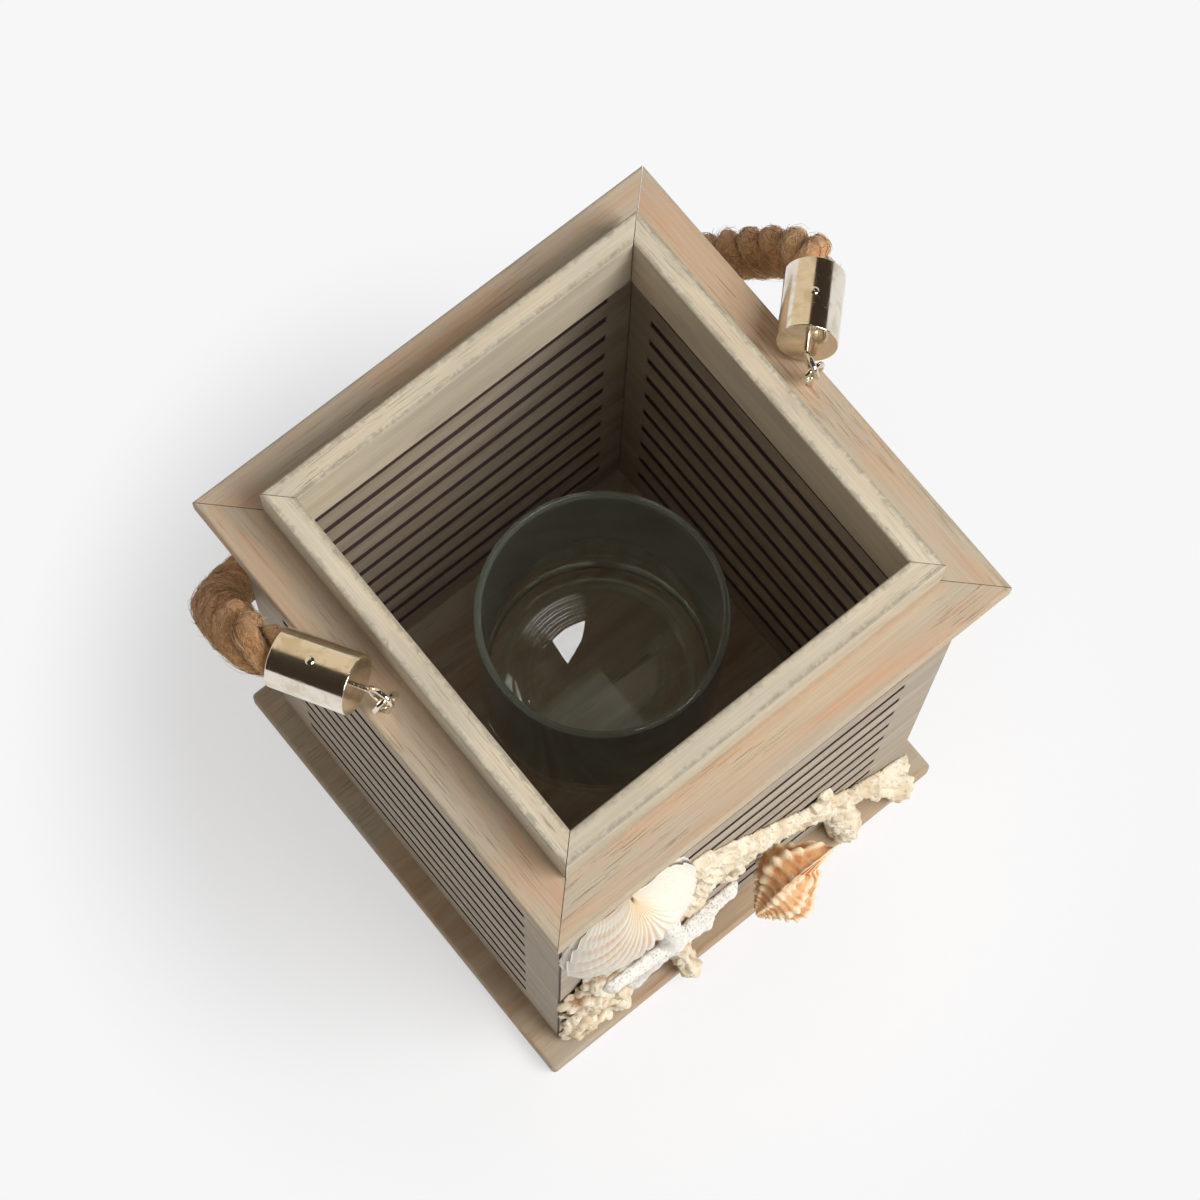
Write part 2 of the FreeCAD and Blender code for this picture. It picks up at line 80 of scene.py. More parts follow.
class Grain(Enum):
    """The way a board's grain runs, as the turn that lays it along X."""

    ALONG_X = (0.0, 0.0, 0.0)
    ALONG_Y = (0.0, 0.0, math.radians(90))

    def run(self) -> tuple:
        """Give the level axis that the grain follows."""
        return (1.0, 0.0, 0.0) if self is Grain.ALONG_X else (0.0, 1.0, 0.0)

    def across(self) -> tuple:
        """Give the level axis square to the grain."""
        return (0.0, 1.0, 0.0) if self is Grain.ALONG_X else (1.0, 0.0, 0.0)


# Node trees

class Nodes:
    """Short calls that lay nodes in one node tree."""

    def __init__(self, tree: bpy.types.NodeTree) -> None:
        """Keep the tree."""
        self.tree = tree

    def add(self, kind: str, **settings) -> bpy.types.Node:
        """Add a node of a kind and set its properties.

        Args:
            kind: The node's type without its ShaderNode prefix.
            settings: Properties to set on the node.

        Returns:
            The new node.
        """
        node = self.tree.nodes.new("ShaderNode" + kind)
        for name, value in settings.items():
            setattr(node, name, value)
        return node

    def feed(self, into: bpy.types.NodeSocket, value: Socket) -> None:
        """Link a socket to an input, or set the input's own value.

        Args:
            into: The input.
            value: A socket to link, or a plain value.
        """
        if isinstance(value, bpy.types.NodeSocket):
            self.tree.links.new(value, into)
        else:
            into.default_value = value

    def math(self, operation: str, a: Socket, b: Socket = 0.0, clamp: bool = False) -> bpy.types.NodeSocket:
        """Work out one sum of two values.

        Args:
            operation: The Math node's operation.
            a: First value.
            b: Second value.
            clamp: Keep the result from 0 to 1.

        Returns:
            The result.
        """
        node = self.add("Math", operation=operation, use_clamp=clamp)
        self.feed(node.inputs[0], a)
        self.feed(node.inputs[1], b)
        return node.outputs[0]

    def ramp(self, value: Socket, low: float, high: float) -> bpy.types.NodeSocket:
        """Rise smoothly from 0 to 1 between two levels.

        Args:
            value: The value to map.
            low: Level that gives 0.
            high: Level that gives 1.

        Returns:
            The mapped value.
        """
        node = self.add("MapRange", interpolation_type="SMOOTHSTEP")
        self.feed(node.inputs["Value"], value)
        node.inputs["From Min"].default_value = low
        node.inputs["From Max"].default_value = high
        return node.outputs[0]

    def part(self, mask: Socket, share: float) -> bpy.types.NodeSocket:
        """Take a share of a mask."""
        return self.math("MULTIPLY", mask, share)

    def level(self, low: float, more: float, mask: Socket) -> bpy.types.NodeSocket:
        """Give a level that has more (or less, below 0) where a mask shows."""
        return self.math("ADD", self.part(mask, more), low)

    def tint(self, colour: Socket, mask: Socket, share: float, tint: Socket) -> bpy.types.NodeSocket:
        """Lay a tint over a colour where a mask shows, up to a share."""
        return self.mix(self.part(mask, share), colour, tint)

    def mix(self, factor: Socket, a: Socket, b: Socket) -> bpy.types.NodeSocket:
        """Mix two colours.

        Args:
            factor: Share of the second.
            a: First colour.
            b: Second colour.

        Returns:
            The mixed colour.
        """
        node = self.add("Mix", data_type="RGBA")
        self.feed(node.inputs[0], factor)
        self.feed(node.inputs[6], a)
        self.feed(node.inputs[7], b)
        return node.outputs[2]

    def noise(self, vector: Socket, scale: float, detail: float = 3.0, twist: float = 0.0,
              shift: Socket = 0.0) -> bpy.types.NodeSocket:
        """Lay cloudy noise.

        Args:
            vector: Where it is read.
            scale: Clouds to the unit.
            detail: Finer layers.
            twist: How far it is warped.
            shift: Which cut of the noise is taken.

        Returns:
            The noise, about 0.5 in the middle.
        """
        node = self.add("TexNoise", noise_dimensions="4D")
        self.feed(node.inputs["Vector"], vector)
        self.feed(node.inputs["W"], shift)
        node.inputs["Scale"].default_value = scale
        node.inputs["Detail"].default_value = detail
        node.inputs["Distortion"].default_value = twist
        return node.outputs["Fac"]

    def stretched(self, vector: Socket, scale: tuple = (1.0, 1.0, 1.0),
                  turn: tuple = (0.0, 0.0, 0.0)) -> bpy.types.NodeSocket:
        """Turn and stretch coordinates.

        Args:
            vector: The coordinates.
            scale: Scale of each axis.
            turn: Turn about each axis, in radians.

        Returns:
            The new coordinates.
        """
        node = self.add("Mapping")
        self.feed(node.inputs["Vector"], vector)
        node.inputs["Rotation"].default_value = turn
        node.inputs["Scale"].default_value = scale
        return node.outputs[0]

    def place(self) -> bpy.types.NodeSocket:
        """Give the piece's own coordinates, in metres."""
        return self.add("TexCoord").outputs["Object"]

    def written(self, name: str) -> bpy.types.NodeSocket:
        """Give a value that is written on the mesh's points."""
        return self.add("Attribute", attribute_name=name).outputs["Fac"]

    def group(self, group: bpy.types.NodeTree, **values: Socket) -> bpy.types.Node:
        """Place a node group and feed its inputs.

        Args:
            group: The group.
            values: Its inputs by name, with _ for a space.

        Returns:
            The group's node.
        """
        node = self.add("Group", node_tree=group)
        for name, value in values.items():
            self.feed(node.inputs[name.replace("_", " ")], value)
        return node


class Effects:
    """The effects that several finishes share, each a node group that is built once."""

    def __init__(self) -> None:
        """Build every group."""
        self.grain = self.limed_grain()
        self.edge = self.worn_edge()
        self.pits = self.pitted()
        self.char = self.charred_slots()

    @staticmethod
    def start(name: str, inputs: dict, outputs: dict) -> tuple:
        """Start a group with named sockets.

        Args:
            name: The group's name.
            inputs: Input names and their kinds.
            outputs: Output names and their kinds.

        Returns:
            The group, its nodes, its input node and its output node.
        """
        group = bpy.data.node_groups.new(name, "ShaderNodeTree")
        for socket, kind in inputs.items():
            group.interface.new_socket(name=socket, in_out="INPUT", socket_type="NodeSocket" + kind)
        for socket, kind in outputs.items():
            group.interface.new_socket(name=socket, in_out="OUTPUT", socket_type="NodeSocket" + kind)
        nodes = Nodes(group)
        return group, nodes, group.nodes.new("NodeGroupInput"), group.nodes.new("NodeGroupOutput")

    def limed_grain(self) -> bpy.types.NodeTree:
        """Build streaks, fine fibres, pores and limewash that run along X.

        Returns:
            The group.
        """
        group, nodes, into, out = self.start(
            "limed_grain", {"Along": "Vector", "Board": "Float"},
            {"Streak": "Float", "Fibre": "Float", "Pore": "Float", "Wash": "Float", "Height": "Float"})

        def figure(along: float, across: float, detail: float, twist: float) -> bpy.types.NodeSocket:
            """Lay noise with so many clouds to the metre along the grain and across it."""
            drawn = nodes.stretched(into.outputs["Along"], (along, across, across))
            return nodes.noise(drawn, 1.0, detail, twist, into.outputs["Board"])
        streak = figure(along=8.0, across=120.0, detail=5.0, twist=0.7)
        fibre = figure(along=34.0, across=1500.0, detail=3.0, twist=0.3)
        pore = figure(along=70.0, across=2100.0, detail=2.0, twist=0.2)
        wash = figure(along=11.0, across=34.0, detail=5.0, twist=1.2)
        patch = figure(along=10.0, across=40.0, detail=2.0, twist=0.5)
        open_grain = nodes.ramp(patch, low=0.42, high=0.62)
        pores = nodes.math("MULTIPLY", nodes.ramp(pore, low=0.56, high=0.7), open_grain)
        nodes.feed(out.inputs["Streak"], nodes.ramp(streak, low=0.36, high=0.66))
        nodes.feed(out.inputs["Fibre"], nodes.ramp(fibre, low=0.3, high=0.7))
        nodes.feed(out.inputs["Pore"], pores)
        nodes.feed(out.inputs["Wash"], nodes.ramp(wash, low=0.4, high=0.62))
        # Fibres stand half as high as pores are deep
        nodes.feed(out.inputs["Height"], nodes.math("SUBTRACT", nodes.part(fibre, 0.5), pores))
        return group

    def worn_edge(self) -> bpy.types.NodeTree:
        """Build a ragged mask on the top of a square frame of boards, along its inner and outer edges.

        Returns:
            The group.
        """
        group, nodes, into, out = self.start(
            "worn_edge", {"Place": "Vector", "Inner": "Float", "Outer": "Float", "Width": "Float"},
            {"Edge": "Float"})
        split = nodes.add("SeparateXYZ")
        nodes.feed(split.inputs[0], into.outputs["Place"])
        across = nodes.math("ABSOLUTE", split.outputs[0])
        away = nodes.math("MAXIMUM", across, nodes.math("ABSOLUTE", split.outputs[1]))
        inner = nodes.math("ABSOLUTE", nodes.math("SUBTRACT", away, into.outputs["Inner"]))
        outer = nodes.math("ABSOLUTE", nodes.math("SUBTRACT", away, into.outputs["Outer"]))
        near = nodes.math("DIVIDE", nodes.math("MINIMUM", inner, outer), into.outputs["Width"])
        # Noise is about 0.5 in the middle, so the strip ends a little over one width from the edge
        ragged = nodes.part(nodes.noise(into.outputs["Place"], scale=340.0, detail=9.0, twist=1.2), 2.3)
        worn = nodes.ramp(nodes.math("SUBTRACT", ragged, near), low=0.0, high=1.1)
        facing = nodes.add("SeparateXYZ")
        nodes.feed(facing.inputs[0], nodes.add("NewGeometry").outputs["Normal"])
        top = nodes.ramp(facing.outputs[2], low=0.3, high=0.7)
        nodes.feed(out.inputs["Edge"], nodes.math("MULTIPLY", worn, top))
        return group

    def pitted(self) -> bpy.types.NodeTree:
        """Build small uneven pits.

        Returns:
            The group.
        """
        group, nodes, into, out = self.start(
            "pitted", {"Place": "Vector", "Scale": "Float"}, {"Pit": "Float", "Height": "Float"})
        cells = nodes.add("TexVoronoi", feature="F1")
        nodes.feed(cells.inputs["Vector"], into.outputs["Place"])
        nodes.feed(cells.inputs["Scale"], into.outputs["Scale"])
        rough = nodes.noise(into.outputs["Place"], scale=900.0, detail=4.0)
        pit = nodes.ramp(cells.outputs["Distance"], low=0.34, high=0.12)
        nodes.feed(out.inputs["Pit"], pit)
        # The grit between pits stands 0.7 of a pit's depth high
        nodes.feed(out.inputs["Height"], nodes.math("SUBTRACT", nodes.part(rough, 0.7), pit))
        return group

    def charred_slots(self) -> bpy.types.NodeTree:
        """Build the scorch in and round a wall's slots, which lie at one pitch up the wall.

        Returns:
            The group.
        """
        group, nodes, into, out = self.start(
            "charred_slots",
            {"Place": "Vector", "Facing": "Vector", "Along": "Vector", "First": "Float", "Pitch": "Float",
             "Height": "Float", "Length": "Float", "Last": "Float"}, {"Char": "Float", "Halo": "Float"})

        def dot(a: Socket, b: Socket) -> bpy.types.NodeSocket:
            """Give the dot product of two vectors."""
            node = nodes.add("VectorMath", operation="DOT_PRODUCT")
            nodes.feed(node.inputs[0], a)
            nodes.feed(node.inputs[1], b)
            return node.outputs["Value"]
        place = into.outputs["Place"]
        first, pitch = into.outputs["First"], into.outputs["Pitch"]
        normal = nodes.add("NewGeometry").outputs["Normal"]
        faced = nodes.math("ABSOLUTE", dot(normal, into.outputs["Facing"]))
        nodes.feed(out.inputs["Char"], nodes.ramp(faced, low=0.5, high=0.3))
        split = nodes.add("SeparateXYZ")
        nodes.feed(split.inputs[0], place)
        half = nodes.part(pitch, 0.5)
        level = nodes.math("ADD", nodes.math("SUBTRACT", split.outputs[2], first), half)
        level = nodes.math("FLOORED_MODULO", level, pitch)
        off = nodes.math("ABSOLUTE", nodes.math("SUBTRACT", level, half))
        off = nodes.math("SUBTRACT", off, nodes.part(into.outputs["Height"], 0.5))
        past = nodes.math("ABSOLUTE", dot(place, into.outputs["Along"]))
        past = nodes.math("SUBTRACT", past, nodes.part(into.outputs["Length"], 0.5))
        far = nodes.math("MAXIMUM", off, past)
        # The scorch fades out 1.1 mm from a slot, give or take 0.6 mm
        ragged = nodes.math("SUBTRACT", nodes.noise(place, scale=300.0, detail=3.0), 0.5)
        far = nodes.math("ADD", far, nodes.part(ragged, 1.2 * MM))
        scorch = nodes.ramp(far, low=1.1 * MM, high=0.0)
        over = nodes.math("GREATER_THAN", split.outputs[2], nodes.math("SUBTRACT", first, half))
        under = nodes.math("LESS_THAN", split.outputs[2], nodes.math("ADD", into.outputs["Last"], half))
        among = nodes.math("MULTIPLY", over, under)
        nodes.feed(out.inputs["Halo"], nodes.math("MULTIPLY", scorch, among))
        return group


# Finishes

def bare_material(name: str) -> tuple:
    """Start a material with its one shader.

    Args:
        name: The material's name.

    Returns:
        The material, its nodes, the shader node and the output node.
    """
    material = bpy.data.materials.new(name)
    material.use_nodes = True
    tree = material.node_tree
    return material, Nodes(tree), tree.nodes["Principled BSDF"], tree.nodes["Material Output"]


def raise_bumps(nodes: Nodes, shader: bpy.types.Node, height: Socket, depth: float,
                strength: float = 1.0) -> None:
    """Bend the shader's normal by a height.

    Args:
        nodes: The material's nodes.
        shader: Its shader.
        height: The height, 0 to 1.
        depth: How deep that is, in metres.
        strength: How much of it shows.
    """
    bump = nodes.add("Bump")
    bump.inputs["Distance"].default_value = depth
    bump.inputs["Strength"].default_value = strength
    nodes.feed(bump.inputs["Height"], height)
    nodes.feed(shader.inputs["Normal"], bump.outputs[0])


@dataclass(frozen=True)
class SlotMarks:
    """Where the slots of a wall lie, in metres."""

    first: float = 0.032
    last: float = 0.252
    pitch: float = 0.020
    height: float = 0.005
    length: float = 0.141


@dataclass(frozen=True)
class LimedWood:
    """Limed and rubbed wood with open grain.

    A frame of boards has its edges at the distances inner and outer from the middle.
    """

    name: str
    grain: Grain
    pale: tuple = paint(196, 178, 152)
    tan: tuple = paint(200, 163, 134)
    grey: tuple = paint(184, 177, 160)
    edge: tuple = paint(160, 151, 132)
    fibre: tuple = paint(120, 95, 70)
    pore: tuple = paint(128, 94, 70)
    scorch: tuple = paint(104, 80, 72)
    char: tuple = paint(66, 49, 47)
    streaks: float = 0.9
    washed: float = 0.6
    worn: float = 0.6
    fibres: float = 0.16
    pores: float = 0.42
    scorched: float = 0.75
    inner: float = 0.0
    outer: float = 1.0
    edge_width: float = 0.0016
    slotted: bool = False
    board_shift: float = 3.7

    def make(self, effects: Effects) -> bpy.types.Material:
        """Build the material.

        Args:
            effects: The shared node groups.

        Returns:
            The material.
        """
        material, nodes, shader, _ = bare_material(self.name)
        place = nodes.place()
        board = nodes.part(nodes.add("ObjectInfo").outputs["Object Index"], self.board_shift)
        along = nodes.stretched(place, turn=self.grain.value)
        grain = nodes.group(effects.grain, Along=along, Board=board)
        edge = nodes.group(
            effects.edge, Place=place, Inner=self.inner, Outer=self.outer, Width=self.edge_width)
        between = nodes.math("SUBTRACT", 1.0, grain.outputs["Fibre"])
        colour = nodes.tint(self.pale, grain.outputs["Streak"], self.streaks, self.tan)
        colour = nodes.tint(colour, grain.outputs["Wash"], self.washed, self.grey)
        colour = nodes.tint(colour, between, self.fibres, self.fibre)
        colour = nodes.tint(colour, grain.outputs["Pore"], self.pores, self.pore)
        colour = nodes.tint(colour, edge.outputs["Edge"], self.worn, self.edge)
        if self.slotted:
            marks = SlotMarks()
            char = nodes.group(
                effects.char, Place=place, Facing=self.grain.across(), Along=self.grain.run(),
                First=marks.first, Last=marks.last, Pitch=marks.pitch, Height=marks.height,
                Length=marks.length)
            colour = nodes.tint(colour, char.outputs["Halo"], self.scorched, self.scorch)
            colour = nodes.mix(char.outputs["Char"], colour, self.char)
        nodes.feed(shader.inputs["Base Color"], colour)
        nodes.feed(shader.inputs["Roughness"], nodes.level(low=0.56, more=0.16, mask=grain.outputs["Fibre"]))
        shader.inputs["Specular IOR Level"].default_value = 0.3
        raise_bumps(nodes, shader, grain.outputs["Height"], depth=0.22 * MM, strength=0.8)
        return material


@dataclass(frozen=True)
class Nickel:
    """Polished nickel plate with faint smears."""

    name: str = "polished_nickel"
    colour: tuple = paint(230, 222, 207)
    smear: tuple = paint(214, 202, 182)
    roughness: float = 0.12
    smear_dulls: float = 0.07
    speck_dulls: float = 0.12

    def make(self, effects: Effects) -> bpy.types.Material:
        """Build the material.

        Args:
            effects: The shared node groups.

        Returns:
            The material.
        """
        material, nodes, shader, _ = bare_material(self.name)
        place = nodes.place()
        cloud = nodes.ramp(nodes.noise(place, scale=160.0, detail=5.0, twist=0.8), low=0.42, high=0.66)
        speck = nodes.ramp(nodes.noise(place, scale=900.0, detail=2.0), low=0.62, high=0.72)
        nodes.feed(shader.inputs["Base Color"], nodes.mix(cloud, self.colour, self.smear))
        rough = nodes.math("ADD", nodes.part(cloud, self.smear_dulls), nodes.part(speck, self.speck_dulls))
        nodes.feed(shader.inputs["Roughness"], nodes.math("ADD", rough, self.roughness))
        shader.inputs["Metallic"].default_value = 1.0
        pits = nodes.group(effects.pits, Place=place, Scale=700.0)
        raise_bumps(nodes, shader, pits.outputs["Height"], depth=0.01 * MM, strength=0.25)
        return material


@dataclass(frozen=True)
class ScrewSteel:
    """Dull zinc-grey steel."""

    name: str = "screw_steel"
    pale: tuple = paint(168, 165, 158)
    dark: tuple = paint(120, 116, 108)
    roughest: float = 0.7

    def make(self, effects: Effects) -> bpy.types.Material:
        """Build the material.

        Args:
            effects: The shared node groups; not used.

        Returns:
            The material.
        """
        material, nodes, shader, _ = bare_material(self.name)
        cloud = nodes.noise(nodes.place(), scale=500.0, detail=4.0)
        nodes.feed(shader.inputs["Base Color"], nodes.mix(cloud, self.pale, self.dark))
        nodes.feed(shader.inputs["Roughness"], nodes.part(cloud, self.roughest))
        shader.inputs["Metallic"].default_value = 1.0
        return material


@dataclass(frozen=True)
class ClearGlass:
    """Clear pressed glass with a faint green cast."""

    name: str = "clear_glass"
    colour: tuple = paint(243, 248, 236)
    clearness: float = 0.94
    light_through: float = 0.9

    def make(self, effects: Effects) -> bpy.types.Material:
        """Build the material; light goes through it to what is behind.

        Args:
            effects: The shared node groups; not used.

        Returns:
            The material.
        """
        material, nodes, shader, output = bare_material(self.name)
        shader.inputs["Base Color"].default_value = self.colour
        shader.inputs["Transmission Weight"].default_value = self.clearness
        shader.inputs["IOR"].default_value = 1.47
        shader.inputs["Roughness"].default_value = 0.0
        clear = nodes.add("BsdfTransparent")
        mixed = nodes.add("MixShader")
        path = nodes.add("LightPath")
        passing = nodes.math("MAXIMUM", path.outputs["Is Shadow Ray"], path.outputs["Is Diffuse Ray"])
        nodes.feed(mixed.inputs[0], nodes.part(passing, self.light_through))
        nodes.feed(mixed.inputs[1], shader.outputs[0])
        nodes.feed(mixed.inputs[2], clear.outputs[0])
        nodes.feed(output.inputs["Surface"], mixed.outputs[0])
        return material


@dataclass(frozen=True)
class Jute:
    """Hairy jute, with painted shade between its strands."""

    name: str = "jute"
    straw: tuple = paint(236, 188, 134)
    brown: tuple = paint(203, 146, 94)
    # Deep brown for random dark gaps in the hair, and painted shade between the strands
    deep_brown_and_crease_shade: tuple = paint(104, 64, 35)
    gaps: float = 0.4

    def make(self, effects: Effects) -> bpy.types.Material:
        """Build the material; the painted shade between strands is written on the mesh.

        Args:
            effects: The shared node groups; not used.

        Returns:
            The material.
        """
        material, nodes, shader, _ = bare_material(self.name)
        place = nodes.place()
        tuft = nodes.noise(place, scale=300.0, detail=6.0, twist=2.6)
        hair = nodes.noise(place, scale=1300.0, detail=3.0, twist=3.0)
        colour = nodes.mix(nodes.ramp(tuft, low=0.36, high=0.64), self.brown, self.straw)
        colour = nodes.tint(colour, nodes.ramp(hair, low=0.58, high=0.4), self.gaps, self.deep_brown_and_crease_shade)
        # Painted shade in the creases between the strands
        colour = nodes.mix(nodes.ramp(nodes.written("crease"), low=0.15, high=0.95), colour, self.deep_brown_and_crease_shade)
        nodes.feed(shader.inputs["Base Color"], colour)
        shader.inputs["Roughness"].default_value = 0.95
        shader.inputs["Specular IOR Level"].default_value = 0.15
        shader.inputs["Sheen Weight"].default_value = 0.25
        # Hairs stand half as high as tufts
        raise_bumps(nodes, shader, nodes.math("ADD", tuft, nodes.part(hair, 0.5)), depth=0.7 * MM)
        return material


@dataclass(frozen=True)
class JuteHair:
    """Loose fibres of the rope, from straw to brown."""

    name: str = "jute_hair"
    brown: tuple = paint(158, 106, 64)
    straw: tuple = paint(248, 216, 172)

    def make(self, effects: Effects) -> bpy.types.Material:
        """Build the material; shade is written on the mesh.

        Args:
            effects: The shared node groups; not used.

        Returns:
            The material.
        """
        material, nodes, shader, _ = bare_material(self.name)
        colour = nodes.mix(nodes.written("shade"), self.brown, self.straw)
        nodes.feed(shader.inputs["Base Color"], colour)
        shader.inputs["Roughness"].default_value = 0.8
        shader.inputs["Specular IOR Level"].default_value = 0.2
        return material


@dataclass(frozen=True)
class CoralSkin:
    """Dry cream coral with painted brown shade in its hollows and pits."""

    name: str = "coral_skin"
    cream: tuple = paint(234, 223, 201)
    sand: tuple = paint(214, 195, 164)
    # Brown of the painted shade in the hollows and pits
    hollow: tuple = paint(152, 114, 78)
    pitted: float = 0.1

    def make(self, effects: Effects) -> bpy.types.Material:
        """Build the material; the painted shade of the hollows is written on the mesh.

        Args:
            effects: The shared node groups.

        Returns:
            The material.
        """
        material, nodes, shader, _ = bare_material(self.name)
        place = nodes.place()
        pits = nodes.group(effects.pits, Place=place, Scale=520.0)
        blotch = nodes.ramp(nodes.noise(place, scale=70.0, detail=4.0, twist=0.6), low=0.4, high=0.65)
        colour = nodes.mix(blotch, self.cream, self.sand)
        # Painted shade in the pits
        colour = nodes.tint(colour, pits.outputs["Pit"], self.pitted, self.hollow)
        # Painted shade in the hollows between ridges and knobs
        colour = nodes.mix(nodes.ramp(nodes.written("hollow"), low=0.25, high=1.0), colour, self.hollow)
        nodes.feed(shader.inputs["Base Color"], colour)
        nodes.feed(shader.inputs["Roughness"], nodes.level(low=0.82, more=0.1, mask=blotch))
        raise_bumps(nodes, shader, pits.outputs["Height"], depth=0.5 * MM, strength=0.8)
        return material


@dataclass(frozen=True)
class StarSkin:
    """Dried white starfish skin, pitted, with painted shade in its pits and hollows."""

    name: str = "star_skin"
    white: tuple = paint(242, 238, 231)
    grey: tuple = paint(228, 223, 214)
    # Painted shade in the pits and hollows
    pit: tuple = paint(176, 170, 162)
    hollow: tuple = paint(172, 166, 158)
    pitted: float = 0.25
    hollow_shade_share: float = 0.4

    def make(self, effects: Effects) -> bpy.types.Material:
        """Build the material; the painted shade of the hollows is written on the mesh.

        Args:
            effects: The shared node groups.

        Returns:
            The material.
        """
        material, nodes, shader, _ = bare_material(self.name)
        place = nodes.place()
        pits = nodes.group(effects.pits, Place=place, Scale=900.0)
        colour = nodes.mix(nodes.noise(place, scale=150.0, detail=3.0), self.white, self.grey)
        # Painted shade in the pits
        colour = nodes.tint(colour, pits.outputs["Pit"], self.pitted, self.pit)
        # Painted shade in the hollows
        colour = nodes.tint(colour, nodes.written("hollow"), self.hollow_shade_share, self.hollow)
        nodes.feed(shader.inputs["Base Color"], colour)
        nodes.feed(shader.inputs["Roughness"], nodes.level(low=0.8, more=0.1, mask=pits.outputs["Pit"]))
        raise_bumps(nodes, shader, pits.outputs["Height"], depth=0.5 * MM, strength=0.9)
        return material


@dataclass(frozen=True)
class ScallopSkin:
    """Creamy shell with peach between its ribs."""

    name: str = "scallop_skin"
    white: tuple = paint(235, 227, 213)
    peach: tuple = paint(220, 176, 136)
    beak: tuple = paint(235, 208, 168)
    ring: tuple = paint(222, 212, 196)
    blushed: float = 0.85
    least_blush: float = 0.35
    beak_share: float = 0.6
    ring_share: float = 0.18

    def make(self, effects: Effects) -> bpy.types.Material:
        """Build the material; rib, reach and side are written on the mesh.

        Args:
            effects: The shared node groups; not used.

        Returns:
            The material.
        """
        material, nodes, shader, _ = bare_material(self.name)
        place = nodes.place()
        reach, rib = nodes.written("reach"), nodes.written("rib")
        patch = nodes.ramp(nodes.noise(place, scale=26.0, detail=3.0, twist=0.6), low=0.42, high=0.62)
        patch = nodes.math("ADD", patch, self.least_blush, clamp=True)
        off_beak = nodes.ramp(reach, low=0.05, high=0.35)
        groove = nodes.math("MULTIPLY", nodes.ramp(rib, low=0.62, high=0.25), off_beak)
        fade = nodes.part(nodes.ramp(reach, low=1.0, high=0.8), self.blushed)
        blush = nodes.math("MULTIPLY", nodes.math("MULTIPLY", groove, fade), patch)
        one_side = nodes.ramp(nodes.written("side"), low=0.35, high=-0.1)
        colour = nodes.mix(nodes.math("MULTIPLY", blush, one_side), self.white, self.peach)
        colour = nodes.tint(colour, nodes.ramp(reach, low=0.3, high=0.05), self.beak_share, self.beak)
        ring = nodes.ramp(nodes.noise(place, scale=60.0, detail=2.0), low=0.45, high=0.6)
        colour = nodes.tint(colour, ring, self.ring_share, self.ring)
        nodes.feed(shader.inputs["Base Color"], colour)
        nodes.feed(shader.inputs["Roughness"], nodes.level(low=0.38, more=0.2, mask=ring))
        shader.inputs["Subsurface Weight"].default_value = 0.08
        grit = nodes.noise(place, scale=1300.0, detail=3.0)
        raise_bumps(nodes, shader, grit, depth=0.1 * MM, strength=0.5)
        return material


@dataclass(frozen=True)
class MurexSkin:
    """Rough orange-brown shell with cream frills and a pink mouth."""

    name: str = "murex_skin"
    straw: tuple = paint(225, 177, 126)
    orange: tuple = paint(203, 135, 85)
    cream: tuple = paint(240, 219, 184)
    speck: tuple = paint(140, 82, 48)
    pink: tuple = paint(242, 218, 200)
    specked: float = 0.35

    def make(self, effects: Effects) -> bpy.types.Material:
        """Build the material; frill and mouth are written on the mesh.

        Args:
            effects: The shared node groups.

        Returns:
            The material.
        """
        material, nodes, shader, _ = bare_material(self.name)
        place = nodes.place()
        blotch = nodes.ramp(nodes.noise(place, scale=130.0, detail=4.0, twist=1.0), low=0.38, high=0.66)
        colour = nodes.mix(blotch, self.straw, self.orange)
        colour = nodes.mix(nodes.ramp(nodes.written("frill"), low=0.25, high=0.85), colour, self.cream)
        speck = nodes.ramp(nodes.noise(place, scale=620.0, detail=2.0), low=0.6, high=0.7)
        colour = nodes.tint(colour, speck, self.specked, self.speck)
        mouth = nodes.written("mouth")
        colour = nodes.mix(mouth, colour, self.pink)
        nodes.feed(shader.inputs["Base Color"], colour)
        nodes.feed(shader.inputs["Roughness"], nodes.level(low=0.7, more=-0.35, mask=mouth))
        pits = nodes.group(effects.pits, Place=place, Scale=800.0)
        raise_bumps(nodes, shader, pits.outputs["Height"], depth=0.3 * MM, strength=0.6)
        return material


# Meshes

def mesh_piece(name: str, points: np.ndarray, faces: Sequence, material: bpy.types.Material,
               written: Optional[dict] = None) -> bpy.types.Object:
    """Make a smooth mesh object.

    Args:
        name: The piece's name.
        points: Its points, in metres.
        faces: Point numbers of each face.
        material: Its finish.
        written: Values to write on the points, by name.

    Returns:
        The object.
    """
    mesh = bpy.data.meshes.new(name)
    mesh.from_pydata([tuple(point) for point in points], [], [tuple(face) for face in faces])
    mesh.polygons.foreach_set("use_smooth", [True] * len(mesh.polygons))
    for label, values in (written or {}).items():
        attribute = mesh.attributes.new(label, "FLOAT", "POINT")
        attribute.data.foreach_set("value", np.asarray(values, np.float32))
    mesh.materials.append(material)
    mesh.update()
    piece = bpy.data.objects.new(name, mesh)
    bpy.context.scene.collection.objects.link(piece)
    return piece


def dress_solid(node: str, material: bpy.types.Material, cut: int = 0) -> None:
    """Put a finish on a solid of the frame.

    Args:
        node: The solid.
        material: The finish.
        cut: Which cut of the grain it shows, where it is wood.
    """
    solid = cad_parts[node]
    solid.data.materials.clear()
    solid.data.materials.append(material)
    solid.pass_index = cut
    LOG.info("dressed %s", node)


def strip_faces(rows: int, columns: int, closed: bool) -> list:
    """Number the four-sided faces of a grid of points.

    Args:
        rows: Rows of points.
        columns: Points in each row.
        closed: Join the last column to the first.

    Returns:
        The faces.
    """
    faces = []
    for row in range(rows - 1):
        for column in range(columns if closed else columns - 1):
            ahead = (column + 1) % columns
            faces.append((row * columns + column, row * columns + ahead,
                          (row + 1) * columns + ahead, (row + 1) * columns + column))
    return faces


